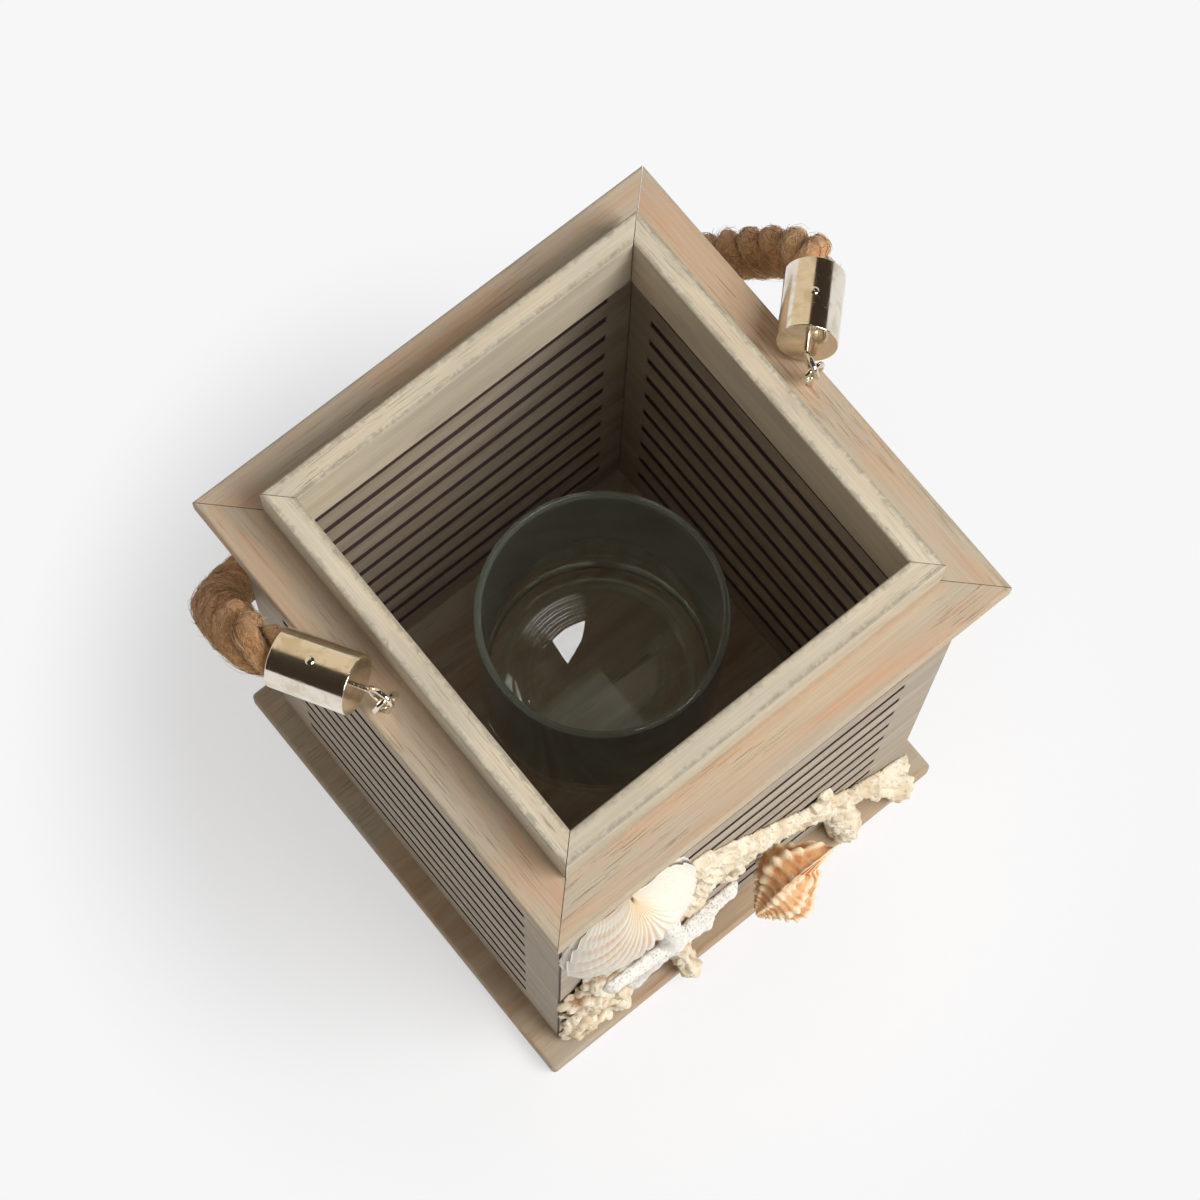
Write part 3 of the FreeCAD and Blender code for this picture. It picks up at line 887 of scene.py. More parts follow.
def lathe(profile: Sequence, steps: int, origin: Vector, axis: Vector) -> tuple:
    """Turn an open profile about an axis and close it with a flat face at each end.

    Args:
        profile: Pairs of radius and distance along the axis.
        steps: Points round the axis.
        origin: The axis's start.
        axis: Its way.

    Returns:
        The points and the faces.
    """
    turn = axis.to_track_quat("Z", "Y").to_matrix()
    points = []
    for radius, along in profile:
        for step in range(steps):
            angle = FULL_TURN * step / steps
            local = Vector((radius * math.cos(angle), radius * math.sin(angle), along))
            points.append(origin + turn @ local)
    faces = strip_faces(len(profile), steps, True)
    last = (len(profile) - 1) * steps
    faces.append(tuple(range(steps))[::-1])
    faces.append(tuple(range(last, last + steps)))
    return np.array([tuple(point) for point in points]), faces


def arc(centre: tuple, radius: float, start: float, end: float, steps: int) -> list:
    """Points on an arc of a profile.

    Args:
        centre: Its middle.
        radius: Its radius.
        start: First angle in degrees.
        end: Last angle in degrees.
        steps: Steps between them.

    Returns:
        The points.
    """
    angles = [math.radians(start + (end - start) * step / steps) for step in range(steps + 1)]
    return [(centre[0] + radius * math.cos(a), centre[1] + radius * math.sin(a)) for a in angles]


def frames_along(path: np.ndarray) -> tuple:
    """Carry a square frame along a path without twisting it.

    Args:
        path: Points of the path.

    Returns:
        Two normals at each point, square to the path and to each other.
    """
    tangents = np.gradient(path, axis=0)
    tangents /= np.linalg.norm(tangents, axis=1)[:, None]
    normal = np.cross(tangents[0], (0.0, 0.0, 1.0))
    normals = []
    for tangent in tangents:
        normal = normal - tangent * np.dot(normal, tangent)
        normal = normal / np.linalg.norm(normal)
        normals.append(normal)
    normals = np.array(normals)
    return normals, np.cross(tangents, normals)


def joined(*meshes: tuple) -> tuple:
    """Put several meshes into one.

    Args:
        meshes: Pairs of points and faces.

    Returns:
        All points and all faces.
    """
    points, faces, count = [], [], 0
    for some_points, some_faces in meshes:
        points.append(np.asarray(some_points))
        faces.extend(tuple(number + count for number in face) for face in some_faces)
        count += len(some_points)
    return np.concatenate(points), faces


def remeshed(node: str, voxel: float, smoothing: int) -> tuple:
    """Read a solid of the frame as an even, softened mesh.

    Args:
        node: The solid's name.
        voxel: Size of the mesh's steps.
        smoothing: Rounds of smoothing.

    Returns:
        Points, faces and outward normals.
    """
    copy = bpy.data.objects.new("soft_copy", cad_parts[node].data.copy())
    bpy.context.scene.collection.objects.link(copy)
    even = copy.modifiers.new("even", "REMESH")
    even.mode = "VOXEL"
    even.voxel_size = voxel
    soft = copy.modifiers.new("soft", "SMOOTH")
    soft.iterations = smoothing
    graph = bpy.context.evaluated_depsgraph_get()
    mesh = bpy.data.meshes.new_from_object(copy.evaluated_get(graph))
    points = np.zeros(len(mesh.vertices) * 3)
    normals = np.zeros(len(mesh.vertices) * 3)
    mesh.vertices.foreach_get("co", points)
    mesh.vertices.foreach_get("normal", normals)
    faces = [tuple(polygon.vertices) for polygon in mesh.polygons]
    bpy.data.objects.remove(copy)
    bpy.data.meshes.remove(mesh)
    return points.reshape(-1, 3), faces, normals.reshape(-1, 3)


# Sub-assemblies

class Card(Enum):
    """Bright cards of the studio: corners, colour and glow."""

    PANE_ABOVE = (((0.41, 0.09, 2.0), (0.20, 0.12, 2.0), (0.31, 0.21, 2.0), (0.43, 0.26, 2.0)),
                  paint(255, 255, 255), 16.0)
    STRIP_AHEAD = (((-0.4, -1.3, 1.1), (0.9, -1.3, 1.1), (0.9, -1.3, 1.9), (-0.4, -1.3, 1.9)),
                   paint(255, 252, 246), 17.0)
    CREAM_BEHIND = (((-1.6, 1.0, 0.35), (1.0, 1.0, 0.35), (1.0, 1.0, 1.85), (-1.6, 1.0, 1.85)),
                    paint(240, 222, 192), 0.95)


@dataclass
class Studio:
    """Camera, floor, light and background."""

    target: Vector = Vector((0.01236, 0.01269, 0.150))
    azimuth: float = -42.38
    elevation: float = 74.23
    roll: float = 3.43
    distance: float = 1.29665
    lens: float = 102.0
    sensor: float = 36.0
    sky: float = 0.36
    sky_colour: tuple = (1.0, 0.955, 0.9, 1.0)
    backdrop: tuple = paint(247, 247, 248)
    floor_size: float = 6.0
    shadow_keep: float = 0.42
    shadow_near: float = 0.16
    shadow_far: float = 0.255
    key_place: tuple = (0.8, -1.4, 2.05)
    key_size: float = 1.5
    key_power: float = 60.0
    tent_colour: tuple = paint(64, 52, 42)
    tent_rings: tuple = ((2.6, 0.75), (2.2, 1.9), (0.75, 2.7))
    tent_steps: int = 48

    def camera(self) -> None:
        """Set the camera to the photograph's view."""
        turn, rise, roll = (math.radians(angle) for angle in (self.azimuth, self.elevation, self.roll))
        out = Vector((math.cos(rise) * math.sin(turn), -math.cos(rise) * math.cos(turn), math.sin(rise)))
        level = Vector((math.cos(turn), math.sin(turn), 0.0))
        over = out.cross(level)
        right = level * math.cos(roll) + over * math.sin(roll)
        up = over * math.cos(roll) - level * math.sin(roll)
        data = bpy.data.cameras.new("camera")
        data.lens = self.lens
        data.sensor_width = self.sensor
        data.sensor_fit = "HORIZONTAL"
        camera = bpy.data.objects.new("camera", data)
        bpy.context.scene.collection.objects.link(camera)
        matrix = Matrix((right, up, out)).transposed().to_4x4()
        matrix.translation = self.target + out * self.distance
        camera.matrix_world = matrix
        bpy.context.scene.camera = camera

    def seen(self, nodes: Nodes) -> bpy.types.NodeSocket:
        """Give 1 on rays that show the background: straight to the camera, in metal or through glass."""
        path = nodes.add("LightPath")
        seen = nodes.math("MAXIMUM", path.outputs["Is Camera Ray"], path.outputs["Is Glossy Ray"])
        return nodes.math("MAXIMUM", seen, path.outputs["Is Transmission Ray"])

    def world(self) -> None:
        """Set even light all round, with the pale background where it shows."""
        world = bpy.data.worlds.new("studio")
        world.use_nodes = True
        bpy.context.scene.world = world
        nodes = Nodes(world.node_tree)
        background = world.node_tree.nodes["Background"]
        colour = nodes.mix(self.seen(nodes), self.sky_colour, self.backdrop)
        nodes.feed(background.inputs["Color"], colour)
        nodes.feed(background.inputs["Strength"], nodes.level(self.sky, 1.0 - self.sky, self.seen(nodes)))

    def floor(self) -> None:
        """Lay a pale floor that takes part of the shadow close to the lantern."""
        half = self.floor_size / 2
        points = np.array([(-half, -half, 0), (half, -half, 0), (half, half, 0), (-half, half, 0)])
        material, nodes, shader, output = bare_material("pale_floor")
        shader.inputs["Base Color"].default_value = self.backdrop
        shader.inputs["Roughness"].default_value = 0.9
        shader.inputs["Specular IOR Level"].default_value = 0.1
        glow = nodes.add("Emission")
        glow.inputs["Color"].default_value = self.backdrop
        mixed = nodes.add("MixShader")
        away = nodes.add("VectorMath", operation="LENGTH")
        nodes.feed(away.inputs[0], nodes.place())
        near = nodes.ramp(away.outputs["Value"], self.shadow_far, self.shadow_near)
        bare = nodes.math("SUBTRACT", 1.0, nodes.part(near, self.shadow_keep))
        nodes.feed(mixed.inputs[0], nodes.math("MULTIPLY", self.seen(nodes), bare))
        nodes.feed(mixed.inputs[1], shader.outputs[0])
        nodes.feed(mixed.inputs[2], glow.outputs[0])
        nodes.feed(output.inputs["Surface"], mixed.outputs[0])
        mesh_piece("floor", points, [(0, 1, 2, 3)], material)

    def key_lamp(self) -> None:
        """Hang a square soft lamp that looks at the lantern; glossy rays don't see it."""
        data = bpy.data.lights.new("key", "AREA")
        data.size = self.key_size
        data.energy = self.key_power
        lamp = bpy.data.objects.new("key", data)
        bpy.context.scene.collection.objects.link(lamp)
        lamp.location = self.key_place
        lamp.visible_glossy = False
        lamp.rotation_euler = (self.target - Vector(self.key_place)).to_track_quat("-Z", "Y").to_euler()

    @staticmethod
    def only_reflected(piece: bpy.types.Object) -> None:
        """Let glossy rays alone see a piece."""
        for ray in ("camera", "diffuse", "shadow", "transmission"):
            setattr(piece, "visible_" + ray, False)

    def dark_tent(self) -> None:
        """Hang the dark upper walls that polished metal and glass reflect; nothing else sees them."""
        material, _, shader, _ = bare_material("dark_tent")
        shader.inputs["Base Color"].default_value = self.tent_colour
        shader.inputs["Roughness"].default_value = 1.0
        points, faces = lathe(self.tent_rings, self.tent_steps, Vector(), UP)
        # The last face closes the top, and the one before it would close the bottom
        tent = mesh_piece("dark_tent", points, faces[:-2] + faces[-1:], material)
        self.only_reflected(tent)

    def bright_card(self, name: str, corners: Sequence, colour: tuple, glow: float) -> None:
        """Hang a bright card that glass and polished metal reflect; nothing else sees it.

        Args:
            name: Its name.
            corners: Its four corners.
            colour: Its colour.
            glow: How bright it is.
        """
        material, nodes, _, output = bare_material(name)
        emission = nodes.add("Emission")
        emission.inputs["Color"].default_value = colour
        emission.inputs["Strength"].default_value = glow
        nodes.feed(output.inputs["Surface"], emission.outputs[0])
        pane = mesh_piece(name, np.array(corners), [(0, 1, 2, 3)], material)
        self.only_reflected(pane)

    def light(self) -> None:
        """Set up the world, the floor, the lamp and what metal and glass reflect."""
        self.world()
        self.floor()
        self.key_lamp()
        self.dark_tent()
        for card in Card:
            self.bright_card(card.name.lower(), *card.value)
        bpy.context.scene.view_settings.view_transform = "Standard"


@dataclass
class Boards:
    """Base, slotted walls, collar and rim, which keep their solids."""

    base_pale: tuple = paint(188, 166, 138)
    base_tan: tuple = paint(170, 140, 112)
    wall_pale: tuple = paint(184, 172, 152)
    wall_tan: tuple = paint(166, 148, 124)
    wall_grey: tuple = paint(160, 152, 138)
    collar_worn: float = 0.5
    rim_pale: tuple = paint(218, 207, 184)
    rim_tan: tuple = paint(206, 184, 154)
    rim_grey: tuple = paint(190, 182, 164)
    rim_edge: tuple = paint(146, 138, 122)
    rim_streaks: float = 0.5
    rim_worn: float = 0.75
    rim_edge_width: float = 0.0022

    def finishes(self, way: Grain) -> dict:
        """Choose the finishes of the boards whose grain runs one way.

        Args:
            way: The way of the grain.

        Returns:
            The finish of each kind of board.
        """
        label = "_wood_" + way.name.lower()
        inner, outer = self.reach("rim_right")
        _, edge = self.reach("collar_right")
        return {
            "collar": LimedWood("collar" + label, way, inner=outer, outer=edge, worn=self.collar_worn),
            "rim": LimedWood(
                "rim" + label, way, self.rim_pale, self.rim_tan, self.rim_grey, self.rim_edge, inner=inner,
                outer=outer, streaks=self.rim_streaks, worn=self.rim_worn, edge_width=self.rim_edge_width),
            "wall": LimedWood(
                "wall" + label, way, self.wall_pale, self.wall_tan, self.wall_grey, slotted=True),
        }

    def dress(self, effects: Effects) -> None:
        """Give every board its own cut of limed wood.

        Args:
            effects: The shared node groups.
        """
        made = {way: {board: finish.make(effects) for board, finish in self.finishes(way).items()}
                for way in Grain}
        sides = {"front": Grain.ALONG_X, "back": Grain.ALONG_X,
                 "left": Grain.ALONG_Y, "right": Grain.ALONG_Y}
        cut = 1
        for side, way in sides.items():
            for board in ("wall", "collar", "rim"):
                dress_solid(board + "_" + side, made[way][board], cut)
                cut += 1
        base = LimedWood("base_wood", Grain.ALONG_X, self.base_pale, self.base_tan)
        dress_solid("base_board", base.make(effects), cut)
        dress_solid("base_screws", ScrewSteel().make(effects))

    @staticmethod
    def reach(node: str) -> tuple:
        """Give how near and how far from the middle a right-hand board lies."""
        across = [corner[0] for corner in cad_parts[node].bound_box]
        return min(across), max(across)


@dataclass
class GlassCup:
    """The loose glass cup, turned from one profile."""

    centre: Vector = Vector((0.016, 0.015, 0.0))
    foot: float = 0.0102
    foot_flat: float = 0.6
    radius: float = 0.0505
    height: float = 0.107
    wall: float = 0.0032
    floor: float = 0.009
    heel: float = 0.008
    cove: float = 0.010
    dish: float = 0.0023
    dish_steps: int = 120
    ripple: float = 0.00005
    rings: int = 12
    rings_from: float = 0.66
    heel_steps: int = 10
    lip_steps: int = 12
    cove_steps: int = 10
    # Rows at the foot of the inside wall that get the painted highlight
    highlight_ring_rows: int = 2
    steps: int = 160
    # A paler, less clear glass on the lip and the cove ring, as a painted highlight
    edge_highlight_colour: tuple = paint(226, 240, 224)
    edge_highlight_clearness: float = 0.78

    def profile(self) -> list:
        """Go round the section from the middle of the foot to the middle of the floor."""
        top = self.foot + self.height
        inside = self.radius - self.wall
        floor = self.foot + self.floor
        lip = self.wall / 2
        outline = [(self.radius * self.foot_flat, self.foot)]
        outline += arc((self.radius - self.heel, self.foot + self.heel), self.heel, -90, 0, self.heel_steps)
        outline += arc((inside + lip, top - lip), lip, 0, 180, self.lip_steps)
        outline += arc((inside - self.cove, floor + self.cove), self.cove, 0, -90, self.cove_steps)
        flat = inside - self.cove
        for step in range(1, self.dish_steps):
            share = 1 - step / self.dish_steps
            ripple = self.ripple * math.sin(FULL_TURN * self.rings * share)
            if share <= self.rings_from:
                ripple = 0.0
            outline.append((flat * share, floor - self.dish * (1 - share ** 2) + ripple))
        return outline

    def highlight_rows(self) -> list:
        """Give the rows of faces on the lip and at the foot of the inside wall, whose paler, less clear
        glass is a painted highlight.
        """
        lip = self.heel_steps + 2
        floor = lip + 1 + self.lip_steps + self.cove_steps
        return [*range(lip, lip + self.lip_steps), *range(floor - self.highlight_ring_rows, floor)]

    def build(self, effects: Effects) -> None:
        """Make the cup and set it in place of its solid.

        Args:
            effects: The shared node groups.
        """
        points, faces = lathe(self.profile(), self.steps, self.centre, UP)
        cup = mesh_piece("glass_cup_clear", points, faces, ClearGlass().make(effects))
        # Painted highlight: the lip and the cove ring get a paler, less clear glass
        edge = ClearGlass("glass_edge", self.edge_highlight_colour, self.edge_highlight_clearness)
        cup.data.materials.append(edge.make(effects))
        rows = self.highlight_rows()
        for polygon in cup.data.polygons:
            polygon.material_index = int(polygon.index // self.steps in rows)
        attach(cup, "glass")
        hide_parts("glass_cup")
        LOG.info("made %s", cup.name)


@dataclass
class RopeHandle:
    """Laid rope between two plated ferrules, hung from screw eyes."""

    radius: float = 0.0093
    strands: int = 3
    strand_ring: float = 0.0049
    strand_radius: float = 0.0044
    lay: float = 0.052
    yarns: int = 6
    yarn_lay: float = 0.011
    yarn_rise: float = 0.00016
    lumps: float = 260.0
    lump_rise: float = 0.00045
    tufts: float = 900.0
    tuft_rise: float = 0.0002
    # Painted shade between the strands starts this far from the rope's middle and is full this much deeper
    crease_shade_from: float = 0.0078
    crease_shade_depth: float = 0.0028
    curve_steps: int = 40
    step: float = 0.0011
    sides: int = 34
    hairs: int = 11000
    hair_shortest: float = 0.004
    hair_longest: float = 0.013
    hair_bits: int = 7
    hair_from: float = 0.0062
    hair_lean: float = 0.7
    hair_lift: tuple = (0.0001, 0.0008)
    hair_thick: tuple = (0.00007, 0.00016)
    hair_taper: float = 0.6
    free_share: float = 0.3
    free_lift: float = 0.0025
    corner_across: float = 0.87
    corner_under: float = 0.5
    tuck: float = 0.012
    path_every: int = 4
    seed: int = 11
    route: tuple = (
        (-0.1053, 0.0254, 0.2920), (-0.1132, 0.0402, 0.2888), (-0.1156, 0.0506, 0.2810),
        (-0.1140, 0.0630, 0.2630), (-0.1115, 0.0750, 0.2360), (-0.1090, 0.0850, 0.2090),
        (-0.1035, 0.0940, 0.1820), (-0.0960, 0.1025, 0.1580), (-0.0800, 0.1075, 0.1410),
        (-0.0570, 0.1090, 0.1315), (-0.0300, 0.1095, 0.1270), (0.0000, 0.1097, 0.1255),
        (0.0300, 0.1095, 0.1280), (0.0570, 0.1090, 0.1340), (0.0800, 0.1075, 0.1435),
        (0.0970, 0.1025, 0.1585), (0.1080, 0.0940, 0.1780), (0.1150, 0.0820, 0.2010),
        (0.1195, 0.0680, 0.2280), (0.1230, 0.0535, 0.2540), (0.1250, 0.0410, 0.2730),
        (0.1228, 0.0319, 0.2856), (0.1108, 0.0207, 0.2900),
    )

    def line(self) -> np.ndarray:
        """Read even points from the smooth spline that has the route as its control points."""
        curve = bpy.data.curves.new("rope_route", "CURVE")
        curve.dimensions = "3D"
        curve.resolution_u = self.curve_steps
        spline = curve.splines.new("NURBS")
        spline.points.add(len(self.route) - 1)
        for point, place in zip(spline.points, self.route):
            point.co = (*place, 1.0)
        spline.order_u = 3
        spline.use_endpoint_u = True
        holder = bpy.data.objects.new("rope_route", curve)
        mesh = bpy.data.meshes.new_from_object(holder)
        points = np.array([tuple(vertex.co) for vertex in mesh.vertices])
        bpy.data.objects.remove(holder)
        bpy.data.meshes.remove(mesh)
        bpy.data.curves.remove(curve)
        runs = np.linalg.norm(np.diff(points, axis=0), axis=1)
        along = np.concatenate(([0.0], np.cumsum(runs)))
        even = np.linspace(0.0, along[-1], int(along[-1] / self.step) + 1)
        return np.stack([np.interp(even, along, points[:, axis]) for axis in range(3)], axis=1)

    def strand(self, path: np.ndarray, turn: float) -> tuple:
        """Lay one strand round the path.

        Args:
            path: The rope's middle line.
            turn: Where round the rope it starts, in radians.

        Returns:
            Points, faces, and how deep each point lies between the strands, which sets its painted shade.
        """
        normals, others = frames_along(path)
        along = np.arange(len(path)) * self.step
        angle = turn + FULL_TURN * along / self.lay
        outward = normals * np.cos(angle)[:, None] + others * np.sin(angle)[:, None]
        middle = path + self.strand_ring * outward
        sides_a, sides_b = frames_along(middle)
        around = np.linspace(0, FULL_TURN, self.sides, endpoint=False)
        points, crease = [], []
        for row in range(len(path)):
            twist = self.yarns * around - FULL_TURN * along[row] / self.yarn_lay
            for column in range(self.sides):
                ring = sides_a[row] * math.cos(around[column]) + sides_b[row] * math.sin(around[column])
                place = middle[row] + self.strand_radius * ring
                lump = noise.noise(Vector(place) * self.lumps) * self.lump_rise
                lump += noise.noise(Vector(place) * self.tufts) * self.tuft_rise
                place = place + ring * (lump + self.yarn_rise * math.cos(twist[column]))
                points.append(place)
                off = np.linalg.norm(place - path[row])
                # Painted shade: the deeper a point lies between the strands, the darker it is painted
                crease.append(min(1.0, max(0.0, (self.crease_shade_from - off) / self.crease_shade_depth)))
        faces = strip_faces(len(path), self.sides, True)
        faces.append(tuple(range(self.sides))[::-1])
        faces.append(tuple(range((len(path) - 1) * self.sides, len(path) * self.sides)))
        return np.array(points), faces, crease

    def hair(self, strands: list, path: np.ndarray) -> tuple:
        """Scatter loose fibres that lie along the strands, some with a free end.

        Args:
            strands: Points of each strand.
            path: The rope's middle line.

        Returns:
            Points, faces and the shade of each point.
        """
        draw = random.Random(self.seed)
        skip = int(self.tuck / self.step) + 1
        pitch = FULL_TURN * self.strand_radius / self.sides
        points, faces, shades = [], [], []
        for _ in range(self.hairs):
            rows = draw.choice(strands).reshape(-1, self.sides, 3)
            row = draw.randrange(skip, len(path) - skip)
            column = draw.randrange(self.sides)
            length = draw.uniform(self.hair_shortest, self.hair_longest)
            lean = draw.gauss(0.0, self.hair_lean)
            lift = draw.uniform(*self.hair_lift)
            free = draw.uniform(0.0, self.free_lift) if draw.random() < self.free_share else 0.0
            shade = draw.random()
            thick = draw.uniform(*self.hair_thick)
            # Hairs run away from the nearer ferrule
            way = 1 if row < len(path) / 2 else -1
            if np.linalg.norm(rows[row, column] - path[row]) < self.hair_from:
                continue
            first = len(points)
            for bit in range(self.hair_bits):
                share = bit / (self.hair_bits - 1)
                ahead = row + way * round(length * share * math.cos(lean) / self.step)
                ahead = min(max(ahead, skip), len(path) - skip)
                around = (column + round(length * share * math.sin(lean) / pitch)) % self.sides
                spot = rows[ahead, around]
                out = spot - rows[ahead].mean(axis=0)
                out = out / np.linalg.norm(out)
                side = np.cross(out, rows[ahead + 1, around] - spot)
                side = side / np.linalg.norm(side)
                spot = spot + out * (lift * math.sin(math.pi * share) + free * share ** 2)
                slim = thick * (1.0 - self.hair_taper * share)
                across, under = side * self.corner_across, out * self.corner_under
                corners = (out, across - under, -across - under)
                points.extend(spot + slim * corner for corner in corners)
                shades.extend([shade] * len(corners))
            bits = strip_faces(self.hair_bits, len(corners), True)
            faces.extend(tuple(first + number for number in face) for face in bits)
        return np.array(points), faces, shades

    def build(self, effects: Effects) -> None:
        """Make the rope and dress its fittings.

        Args:
            effects: The shared node groups.
        """
        path = self.line()
        strands, crease_shades, meshes = [], [], []
        for number in range(self.strands):
            points, faces, crease = self.strand(path, FULL_TURN * number / self.strands)
            strands.append(points)
            meshes.append((points, faces))
            crease_shades.extend(crease)
        points, faces = joined(*meshes)
        rope = mesh_piece("rope_strands", points, faces, Jute().make(effects), {"crease": crease_shades})
        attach(rope, "handle")
        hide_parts("rope_handle")
        points, faces, shades = self.hair(strands, path)
        hairs = mesh_piece("rope_hairs", points, faces, JuteHair().make(effects), {"shade": shades})
        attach(hairs, "handle")
        nickel = Nickel().make(effects)
        for side in ("left", "right"):
            for node in ("ferrule_", "ferrule_eye_", "rope_pin_", "screw_eye_"):
                dress_solid(node + side, nickel)


@dataclass
class Scallop:
    """Ribbed shell at the upper left of the front."""

    beak: Vector = Vector((-0.0625, FRONT_Y, 0.232))
    length: float = 0.072
    half_fan: float = 64.0
    roundness: float = 1.7
    swell: float = 0.0165
    ribs: int = 19
    rib_rise: float = 0.0011
    rib_least: float = 0.15
    rib_flare: float = 0.014
    ring_rise: float = 0.00018
    rings: int = 11
    ring_crowding: float = 1.3
    beak_share: float = 0.015
    dome_from: float = 0.015
    dome_span: float = 0.955
    dome_power: float = 0.85
    side_span: float = 0.985
    side_power: float = 0.5
    thinnest: float = 0.0009
    lines: int = 209
    rows: int = 64

    def height(self, share: float, reach: float, rib: float) -> float:
        """Give how far the shell stands off the wall.

        Args:
            share: How far across the fan, -1 to 1.
            reach: How far from the beak, 0 to 1.
            rib: From a groove at -1 to a rib's top at 1.

        Returns:
            The height in metres.
        """
        through = min(1.0, self.dome_from + self.dome_span * reach ** self.dome_power)
        dome = math.sqrt(max(0.0, math.sin(math.pi * through)))
        dome *= math.cos(math.pi / 2 * share * self.side_span) ** self.side_power
        ribbed = self.rib_rise * rib * (self.rib_least + (1 - self.rib_least) * reach)
        rise = self.swell * dome + ribbed * (1 - share ** 4)
        rise += self.ring_rise * math.sin(FULL_TURN * self.rings * reach ** self.ring_crowding) * reach
        return max(self.thinnest, rise)

    def build(self, effects: Effects) -> None:
        """Make the shell in place of its solid.

        Args:
            effects: The shared node groups.
        """
        front, back, ribs, reaches, sides = [], [], [], [], []
        for line in range(self.lines):
            share = 2 * line / (self.lines - 1) - 1
            angle = math.radians(self.half_fan) * share
            rib = math.cos(math.pi * self.ribs * share)
            length = self.length * math.cos(angle) ** self.roundness
            for row in range(self.rows):
                reach = row / (self.rows - 1)
                far = length * (self.beak_share + (1 - self.beak_share) * reach)
                far *= 1 + self.rib_flare * rib * reach ** 3
                x = self.beak.x + far * math.sin(angle)
                z = self.beak.z - far * math.cos(angle)
                front.append((x, FRONT_Y - self.height(share, reach, rib), z))
                back.append((x, FRONT_Y - SKIN_GAP, z))
                ribs.append(0.5 + 0.5 * rib)
                reaches.append(reach)
                sides.append(share)
        faces = strip_faces(self.lines, self.rows, False)
        count = len(front)
        under = [tuple(number + count for number in face[::-1]) for face in faces]
        rim = [line * self.rows for line in range(self.lines)][::-1]
        rim += list(range(self.rows))[1:]
        rim += [line * self.rows + self.rows - 1 for line in range(1, self.lines)]
        rim += [(self.lines - 1) * self.rows + row for row in range(self.rows - 2, 0, -1)]
        edge = [(rim[i], rim[(i + 1) % len(rim)], rim[(i + 1) % len(rim)] + count, rim[i] + count)
                for i in range(len(rim))]
        written = {"rib": ribs * 2, "reach": reaches * 2, "side": sides * 2}
        shell = mesh_piece("scallop", np.array(front + back), faces + under + edge,
                           ScallopSkin().make(effects), written)
        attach(shell, "lantern")
        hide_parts("scallop_shell")
        LOG.info("made %s", shell.name)


@dataclass
class Murex:
    """Spiral shell with frilled ridges, lying along the wall."""

    middle: Vector = Vector((0.0175, -0.1093, 0.071))
    turns: float = 4.6
    growth: float = 1.62
    axis_radius: float = 0.0069
    tube_radius: float = 0.0101
    rise: float = 0.0235
    half_length: float = 0.025
    tilt: float = 14.0
    spin: float = 325.0
    starts_at: float = 0.12
    frill_waves: int = 4
    frill_sharpness: int = 4
    frill_rise: float = 0.1
    frill_cord_rise: float = 0.17
    cords: int = 13
    cord_rise: float = 0.06
    canal_at: float = 102.0
    canal_reach: float = 0.9
    canal_width: float = 0.45
    grit: float = 420.0
    grit_rise: float = 0.0006
    frill_shown: float = 0.7
    cord_shown: float = 0.45
    sections: int = 420
    sides: int = 96
    # Sections of the mouth: radians past the last turn, width, and how much of the mouth's colour shows
    mouth: tuple = ((0.02, 1.07, 0.3), (0.05, 1.1, 0.6), (0.04, 0.98, 1.0), (-0.05, 0.86, 1.0),
                    (-0.3, 0.74, 1.0), (-0.6, 0.5, 1.0), (-0.7, 0.2, 1.0), (-0.72, 0.02, 1.0))

    def section(self, theta: float, swell: float) -> tuple:
        """Place one section of the shell's tube.

        Args:
            theta: How far round the spiral, in radians.
            swell: The section's width, 1 along the spiral.

        Returns:
            Its points, and how far each stands out as a frill.
        """
        size = self.growth ** (theta / FULL_TURN - self.turns)
        frill = abs(math.cos(self.frill_waves * theta)) ** self.frill_sharpness
        points, frills = [], []
        for side in range(self.sides):
            angle = FULL_TURN * side / self.sides
            cords = 0.5 + 0.5 * math.cos(self.cords * angle)
            off = (angle - math.radians(self.canal_at) + math.pi) % FULL_TURN - math.pi
            canal = self.canal_reach * math.exp(-(off / self.canal_width) ** 2)
            frilled = frill * (self.frill_rise + self.frill_cord_rise * cords)
            wide = 1 + canal + self.cord_rise * cords + frilled
            spot = self.tube_radius * size * wide * swell
            out = self.axis_radius * size + spot * math.cos(angle)
            up = self.rise * size + spot * math.sin(angle)
            place = Vector((out * math.cos(theta), out * math.sin(theta), up))
            rough = noise.noise(place * self.grit) * self.grit_rise * size
            points.append(place + place.normalized() * rough)
            frills.append(min(1.0, self.cord_shown * cords + self.frill_shown * frill))
        return points, frills

    def build(self, effects: Effects) -> None:
        """Make the shell in place of its solid.

        Args:
            effects: The shared node groups.
        """
        last = FULL_TURN * self.turns
        points, frills, mouths = [], [], []
        spiral = np.linspace(self.starts_at * last, last, self.sections)
        plan = [(float(theta), 1.0, 0.0) for theta in spiral]
        plan += [(last + past, swell, mouth) for past, swell, mouth in self.mouth]
        for theta, swell, mouth in plan:
            ring, frill = self.section(theta, swell)
            points.extend(ring)
            frills.extend(frill)
            mouths.extend([mouth] * self.sides)
        faces = strip_faces(len(plan), self.sides, True)
        faces.append(tuple(range(self.sides))[::-1])
        laid = Matrix.Rotation(math.radians(90 - self.tilt), 3, "Y")
        turn = laid @ Matrix.Rotation(math.radians(self.spin), 3, "Z")
        placed = [self.middle + turn @ (point - UP * self.half_length) for point in points]
        clear = [(point.x, min(point.y, FRONT_Y - SKIN_GAP), point.z) for point in placed]
        written = {"frill": frills, "mouth": mouths}
        shell = mesh_piece("murex", np.array(clear), faces, MurexSkin().make(effects), written)
        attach(shell, "lantern")
        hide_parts("murex_shell")
        LOG.info("made %s", shell.name)


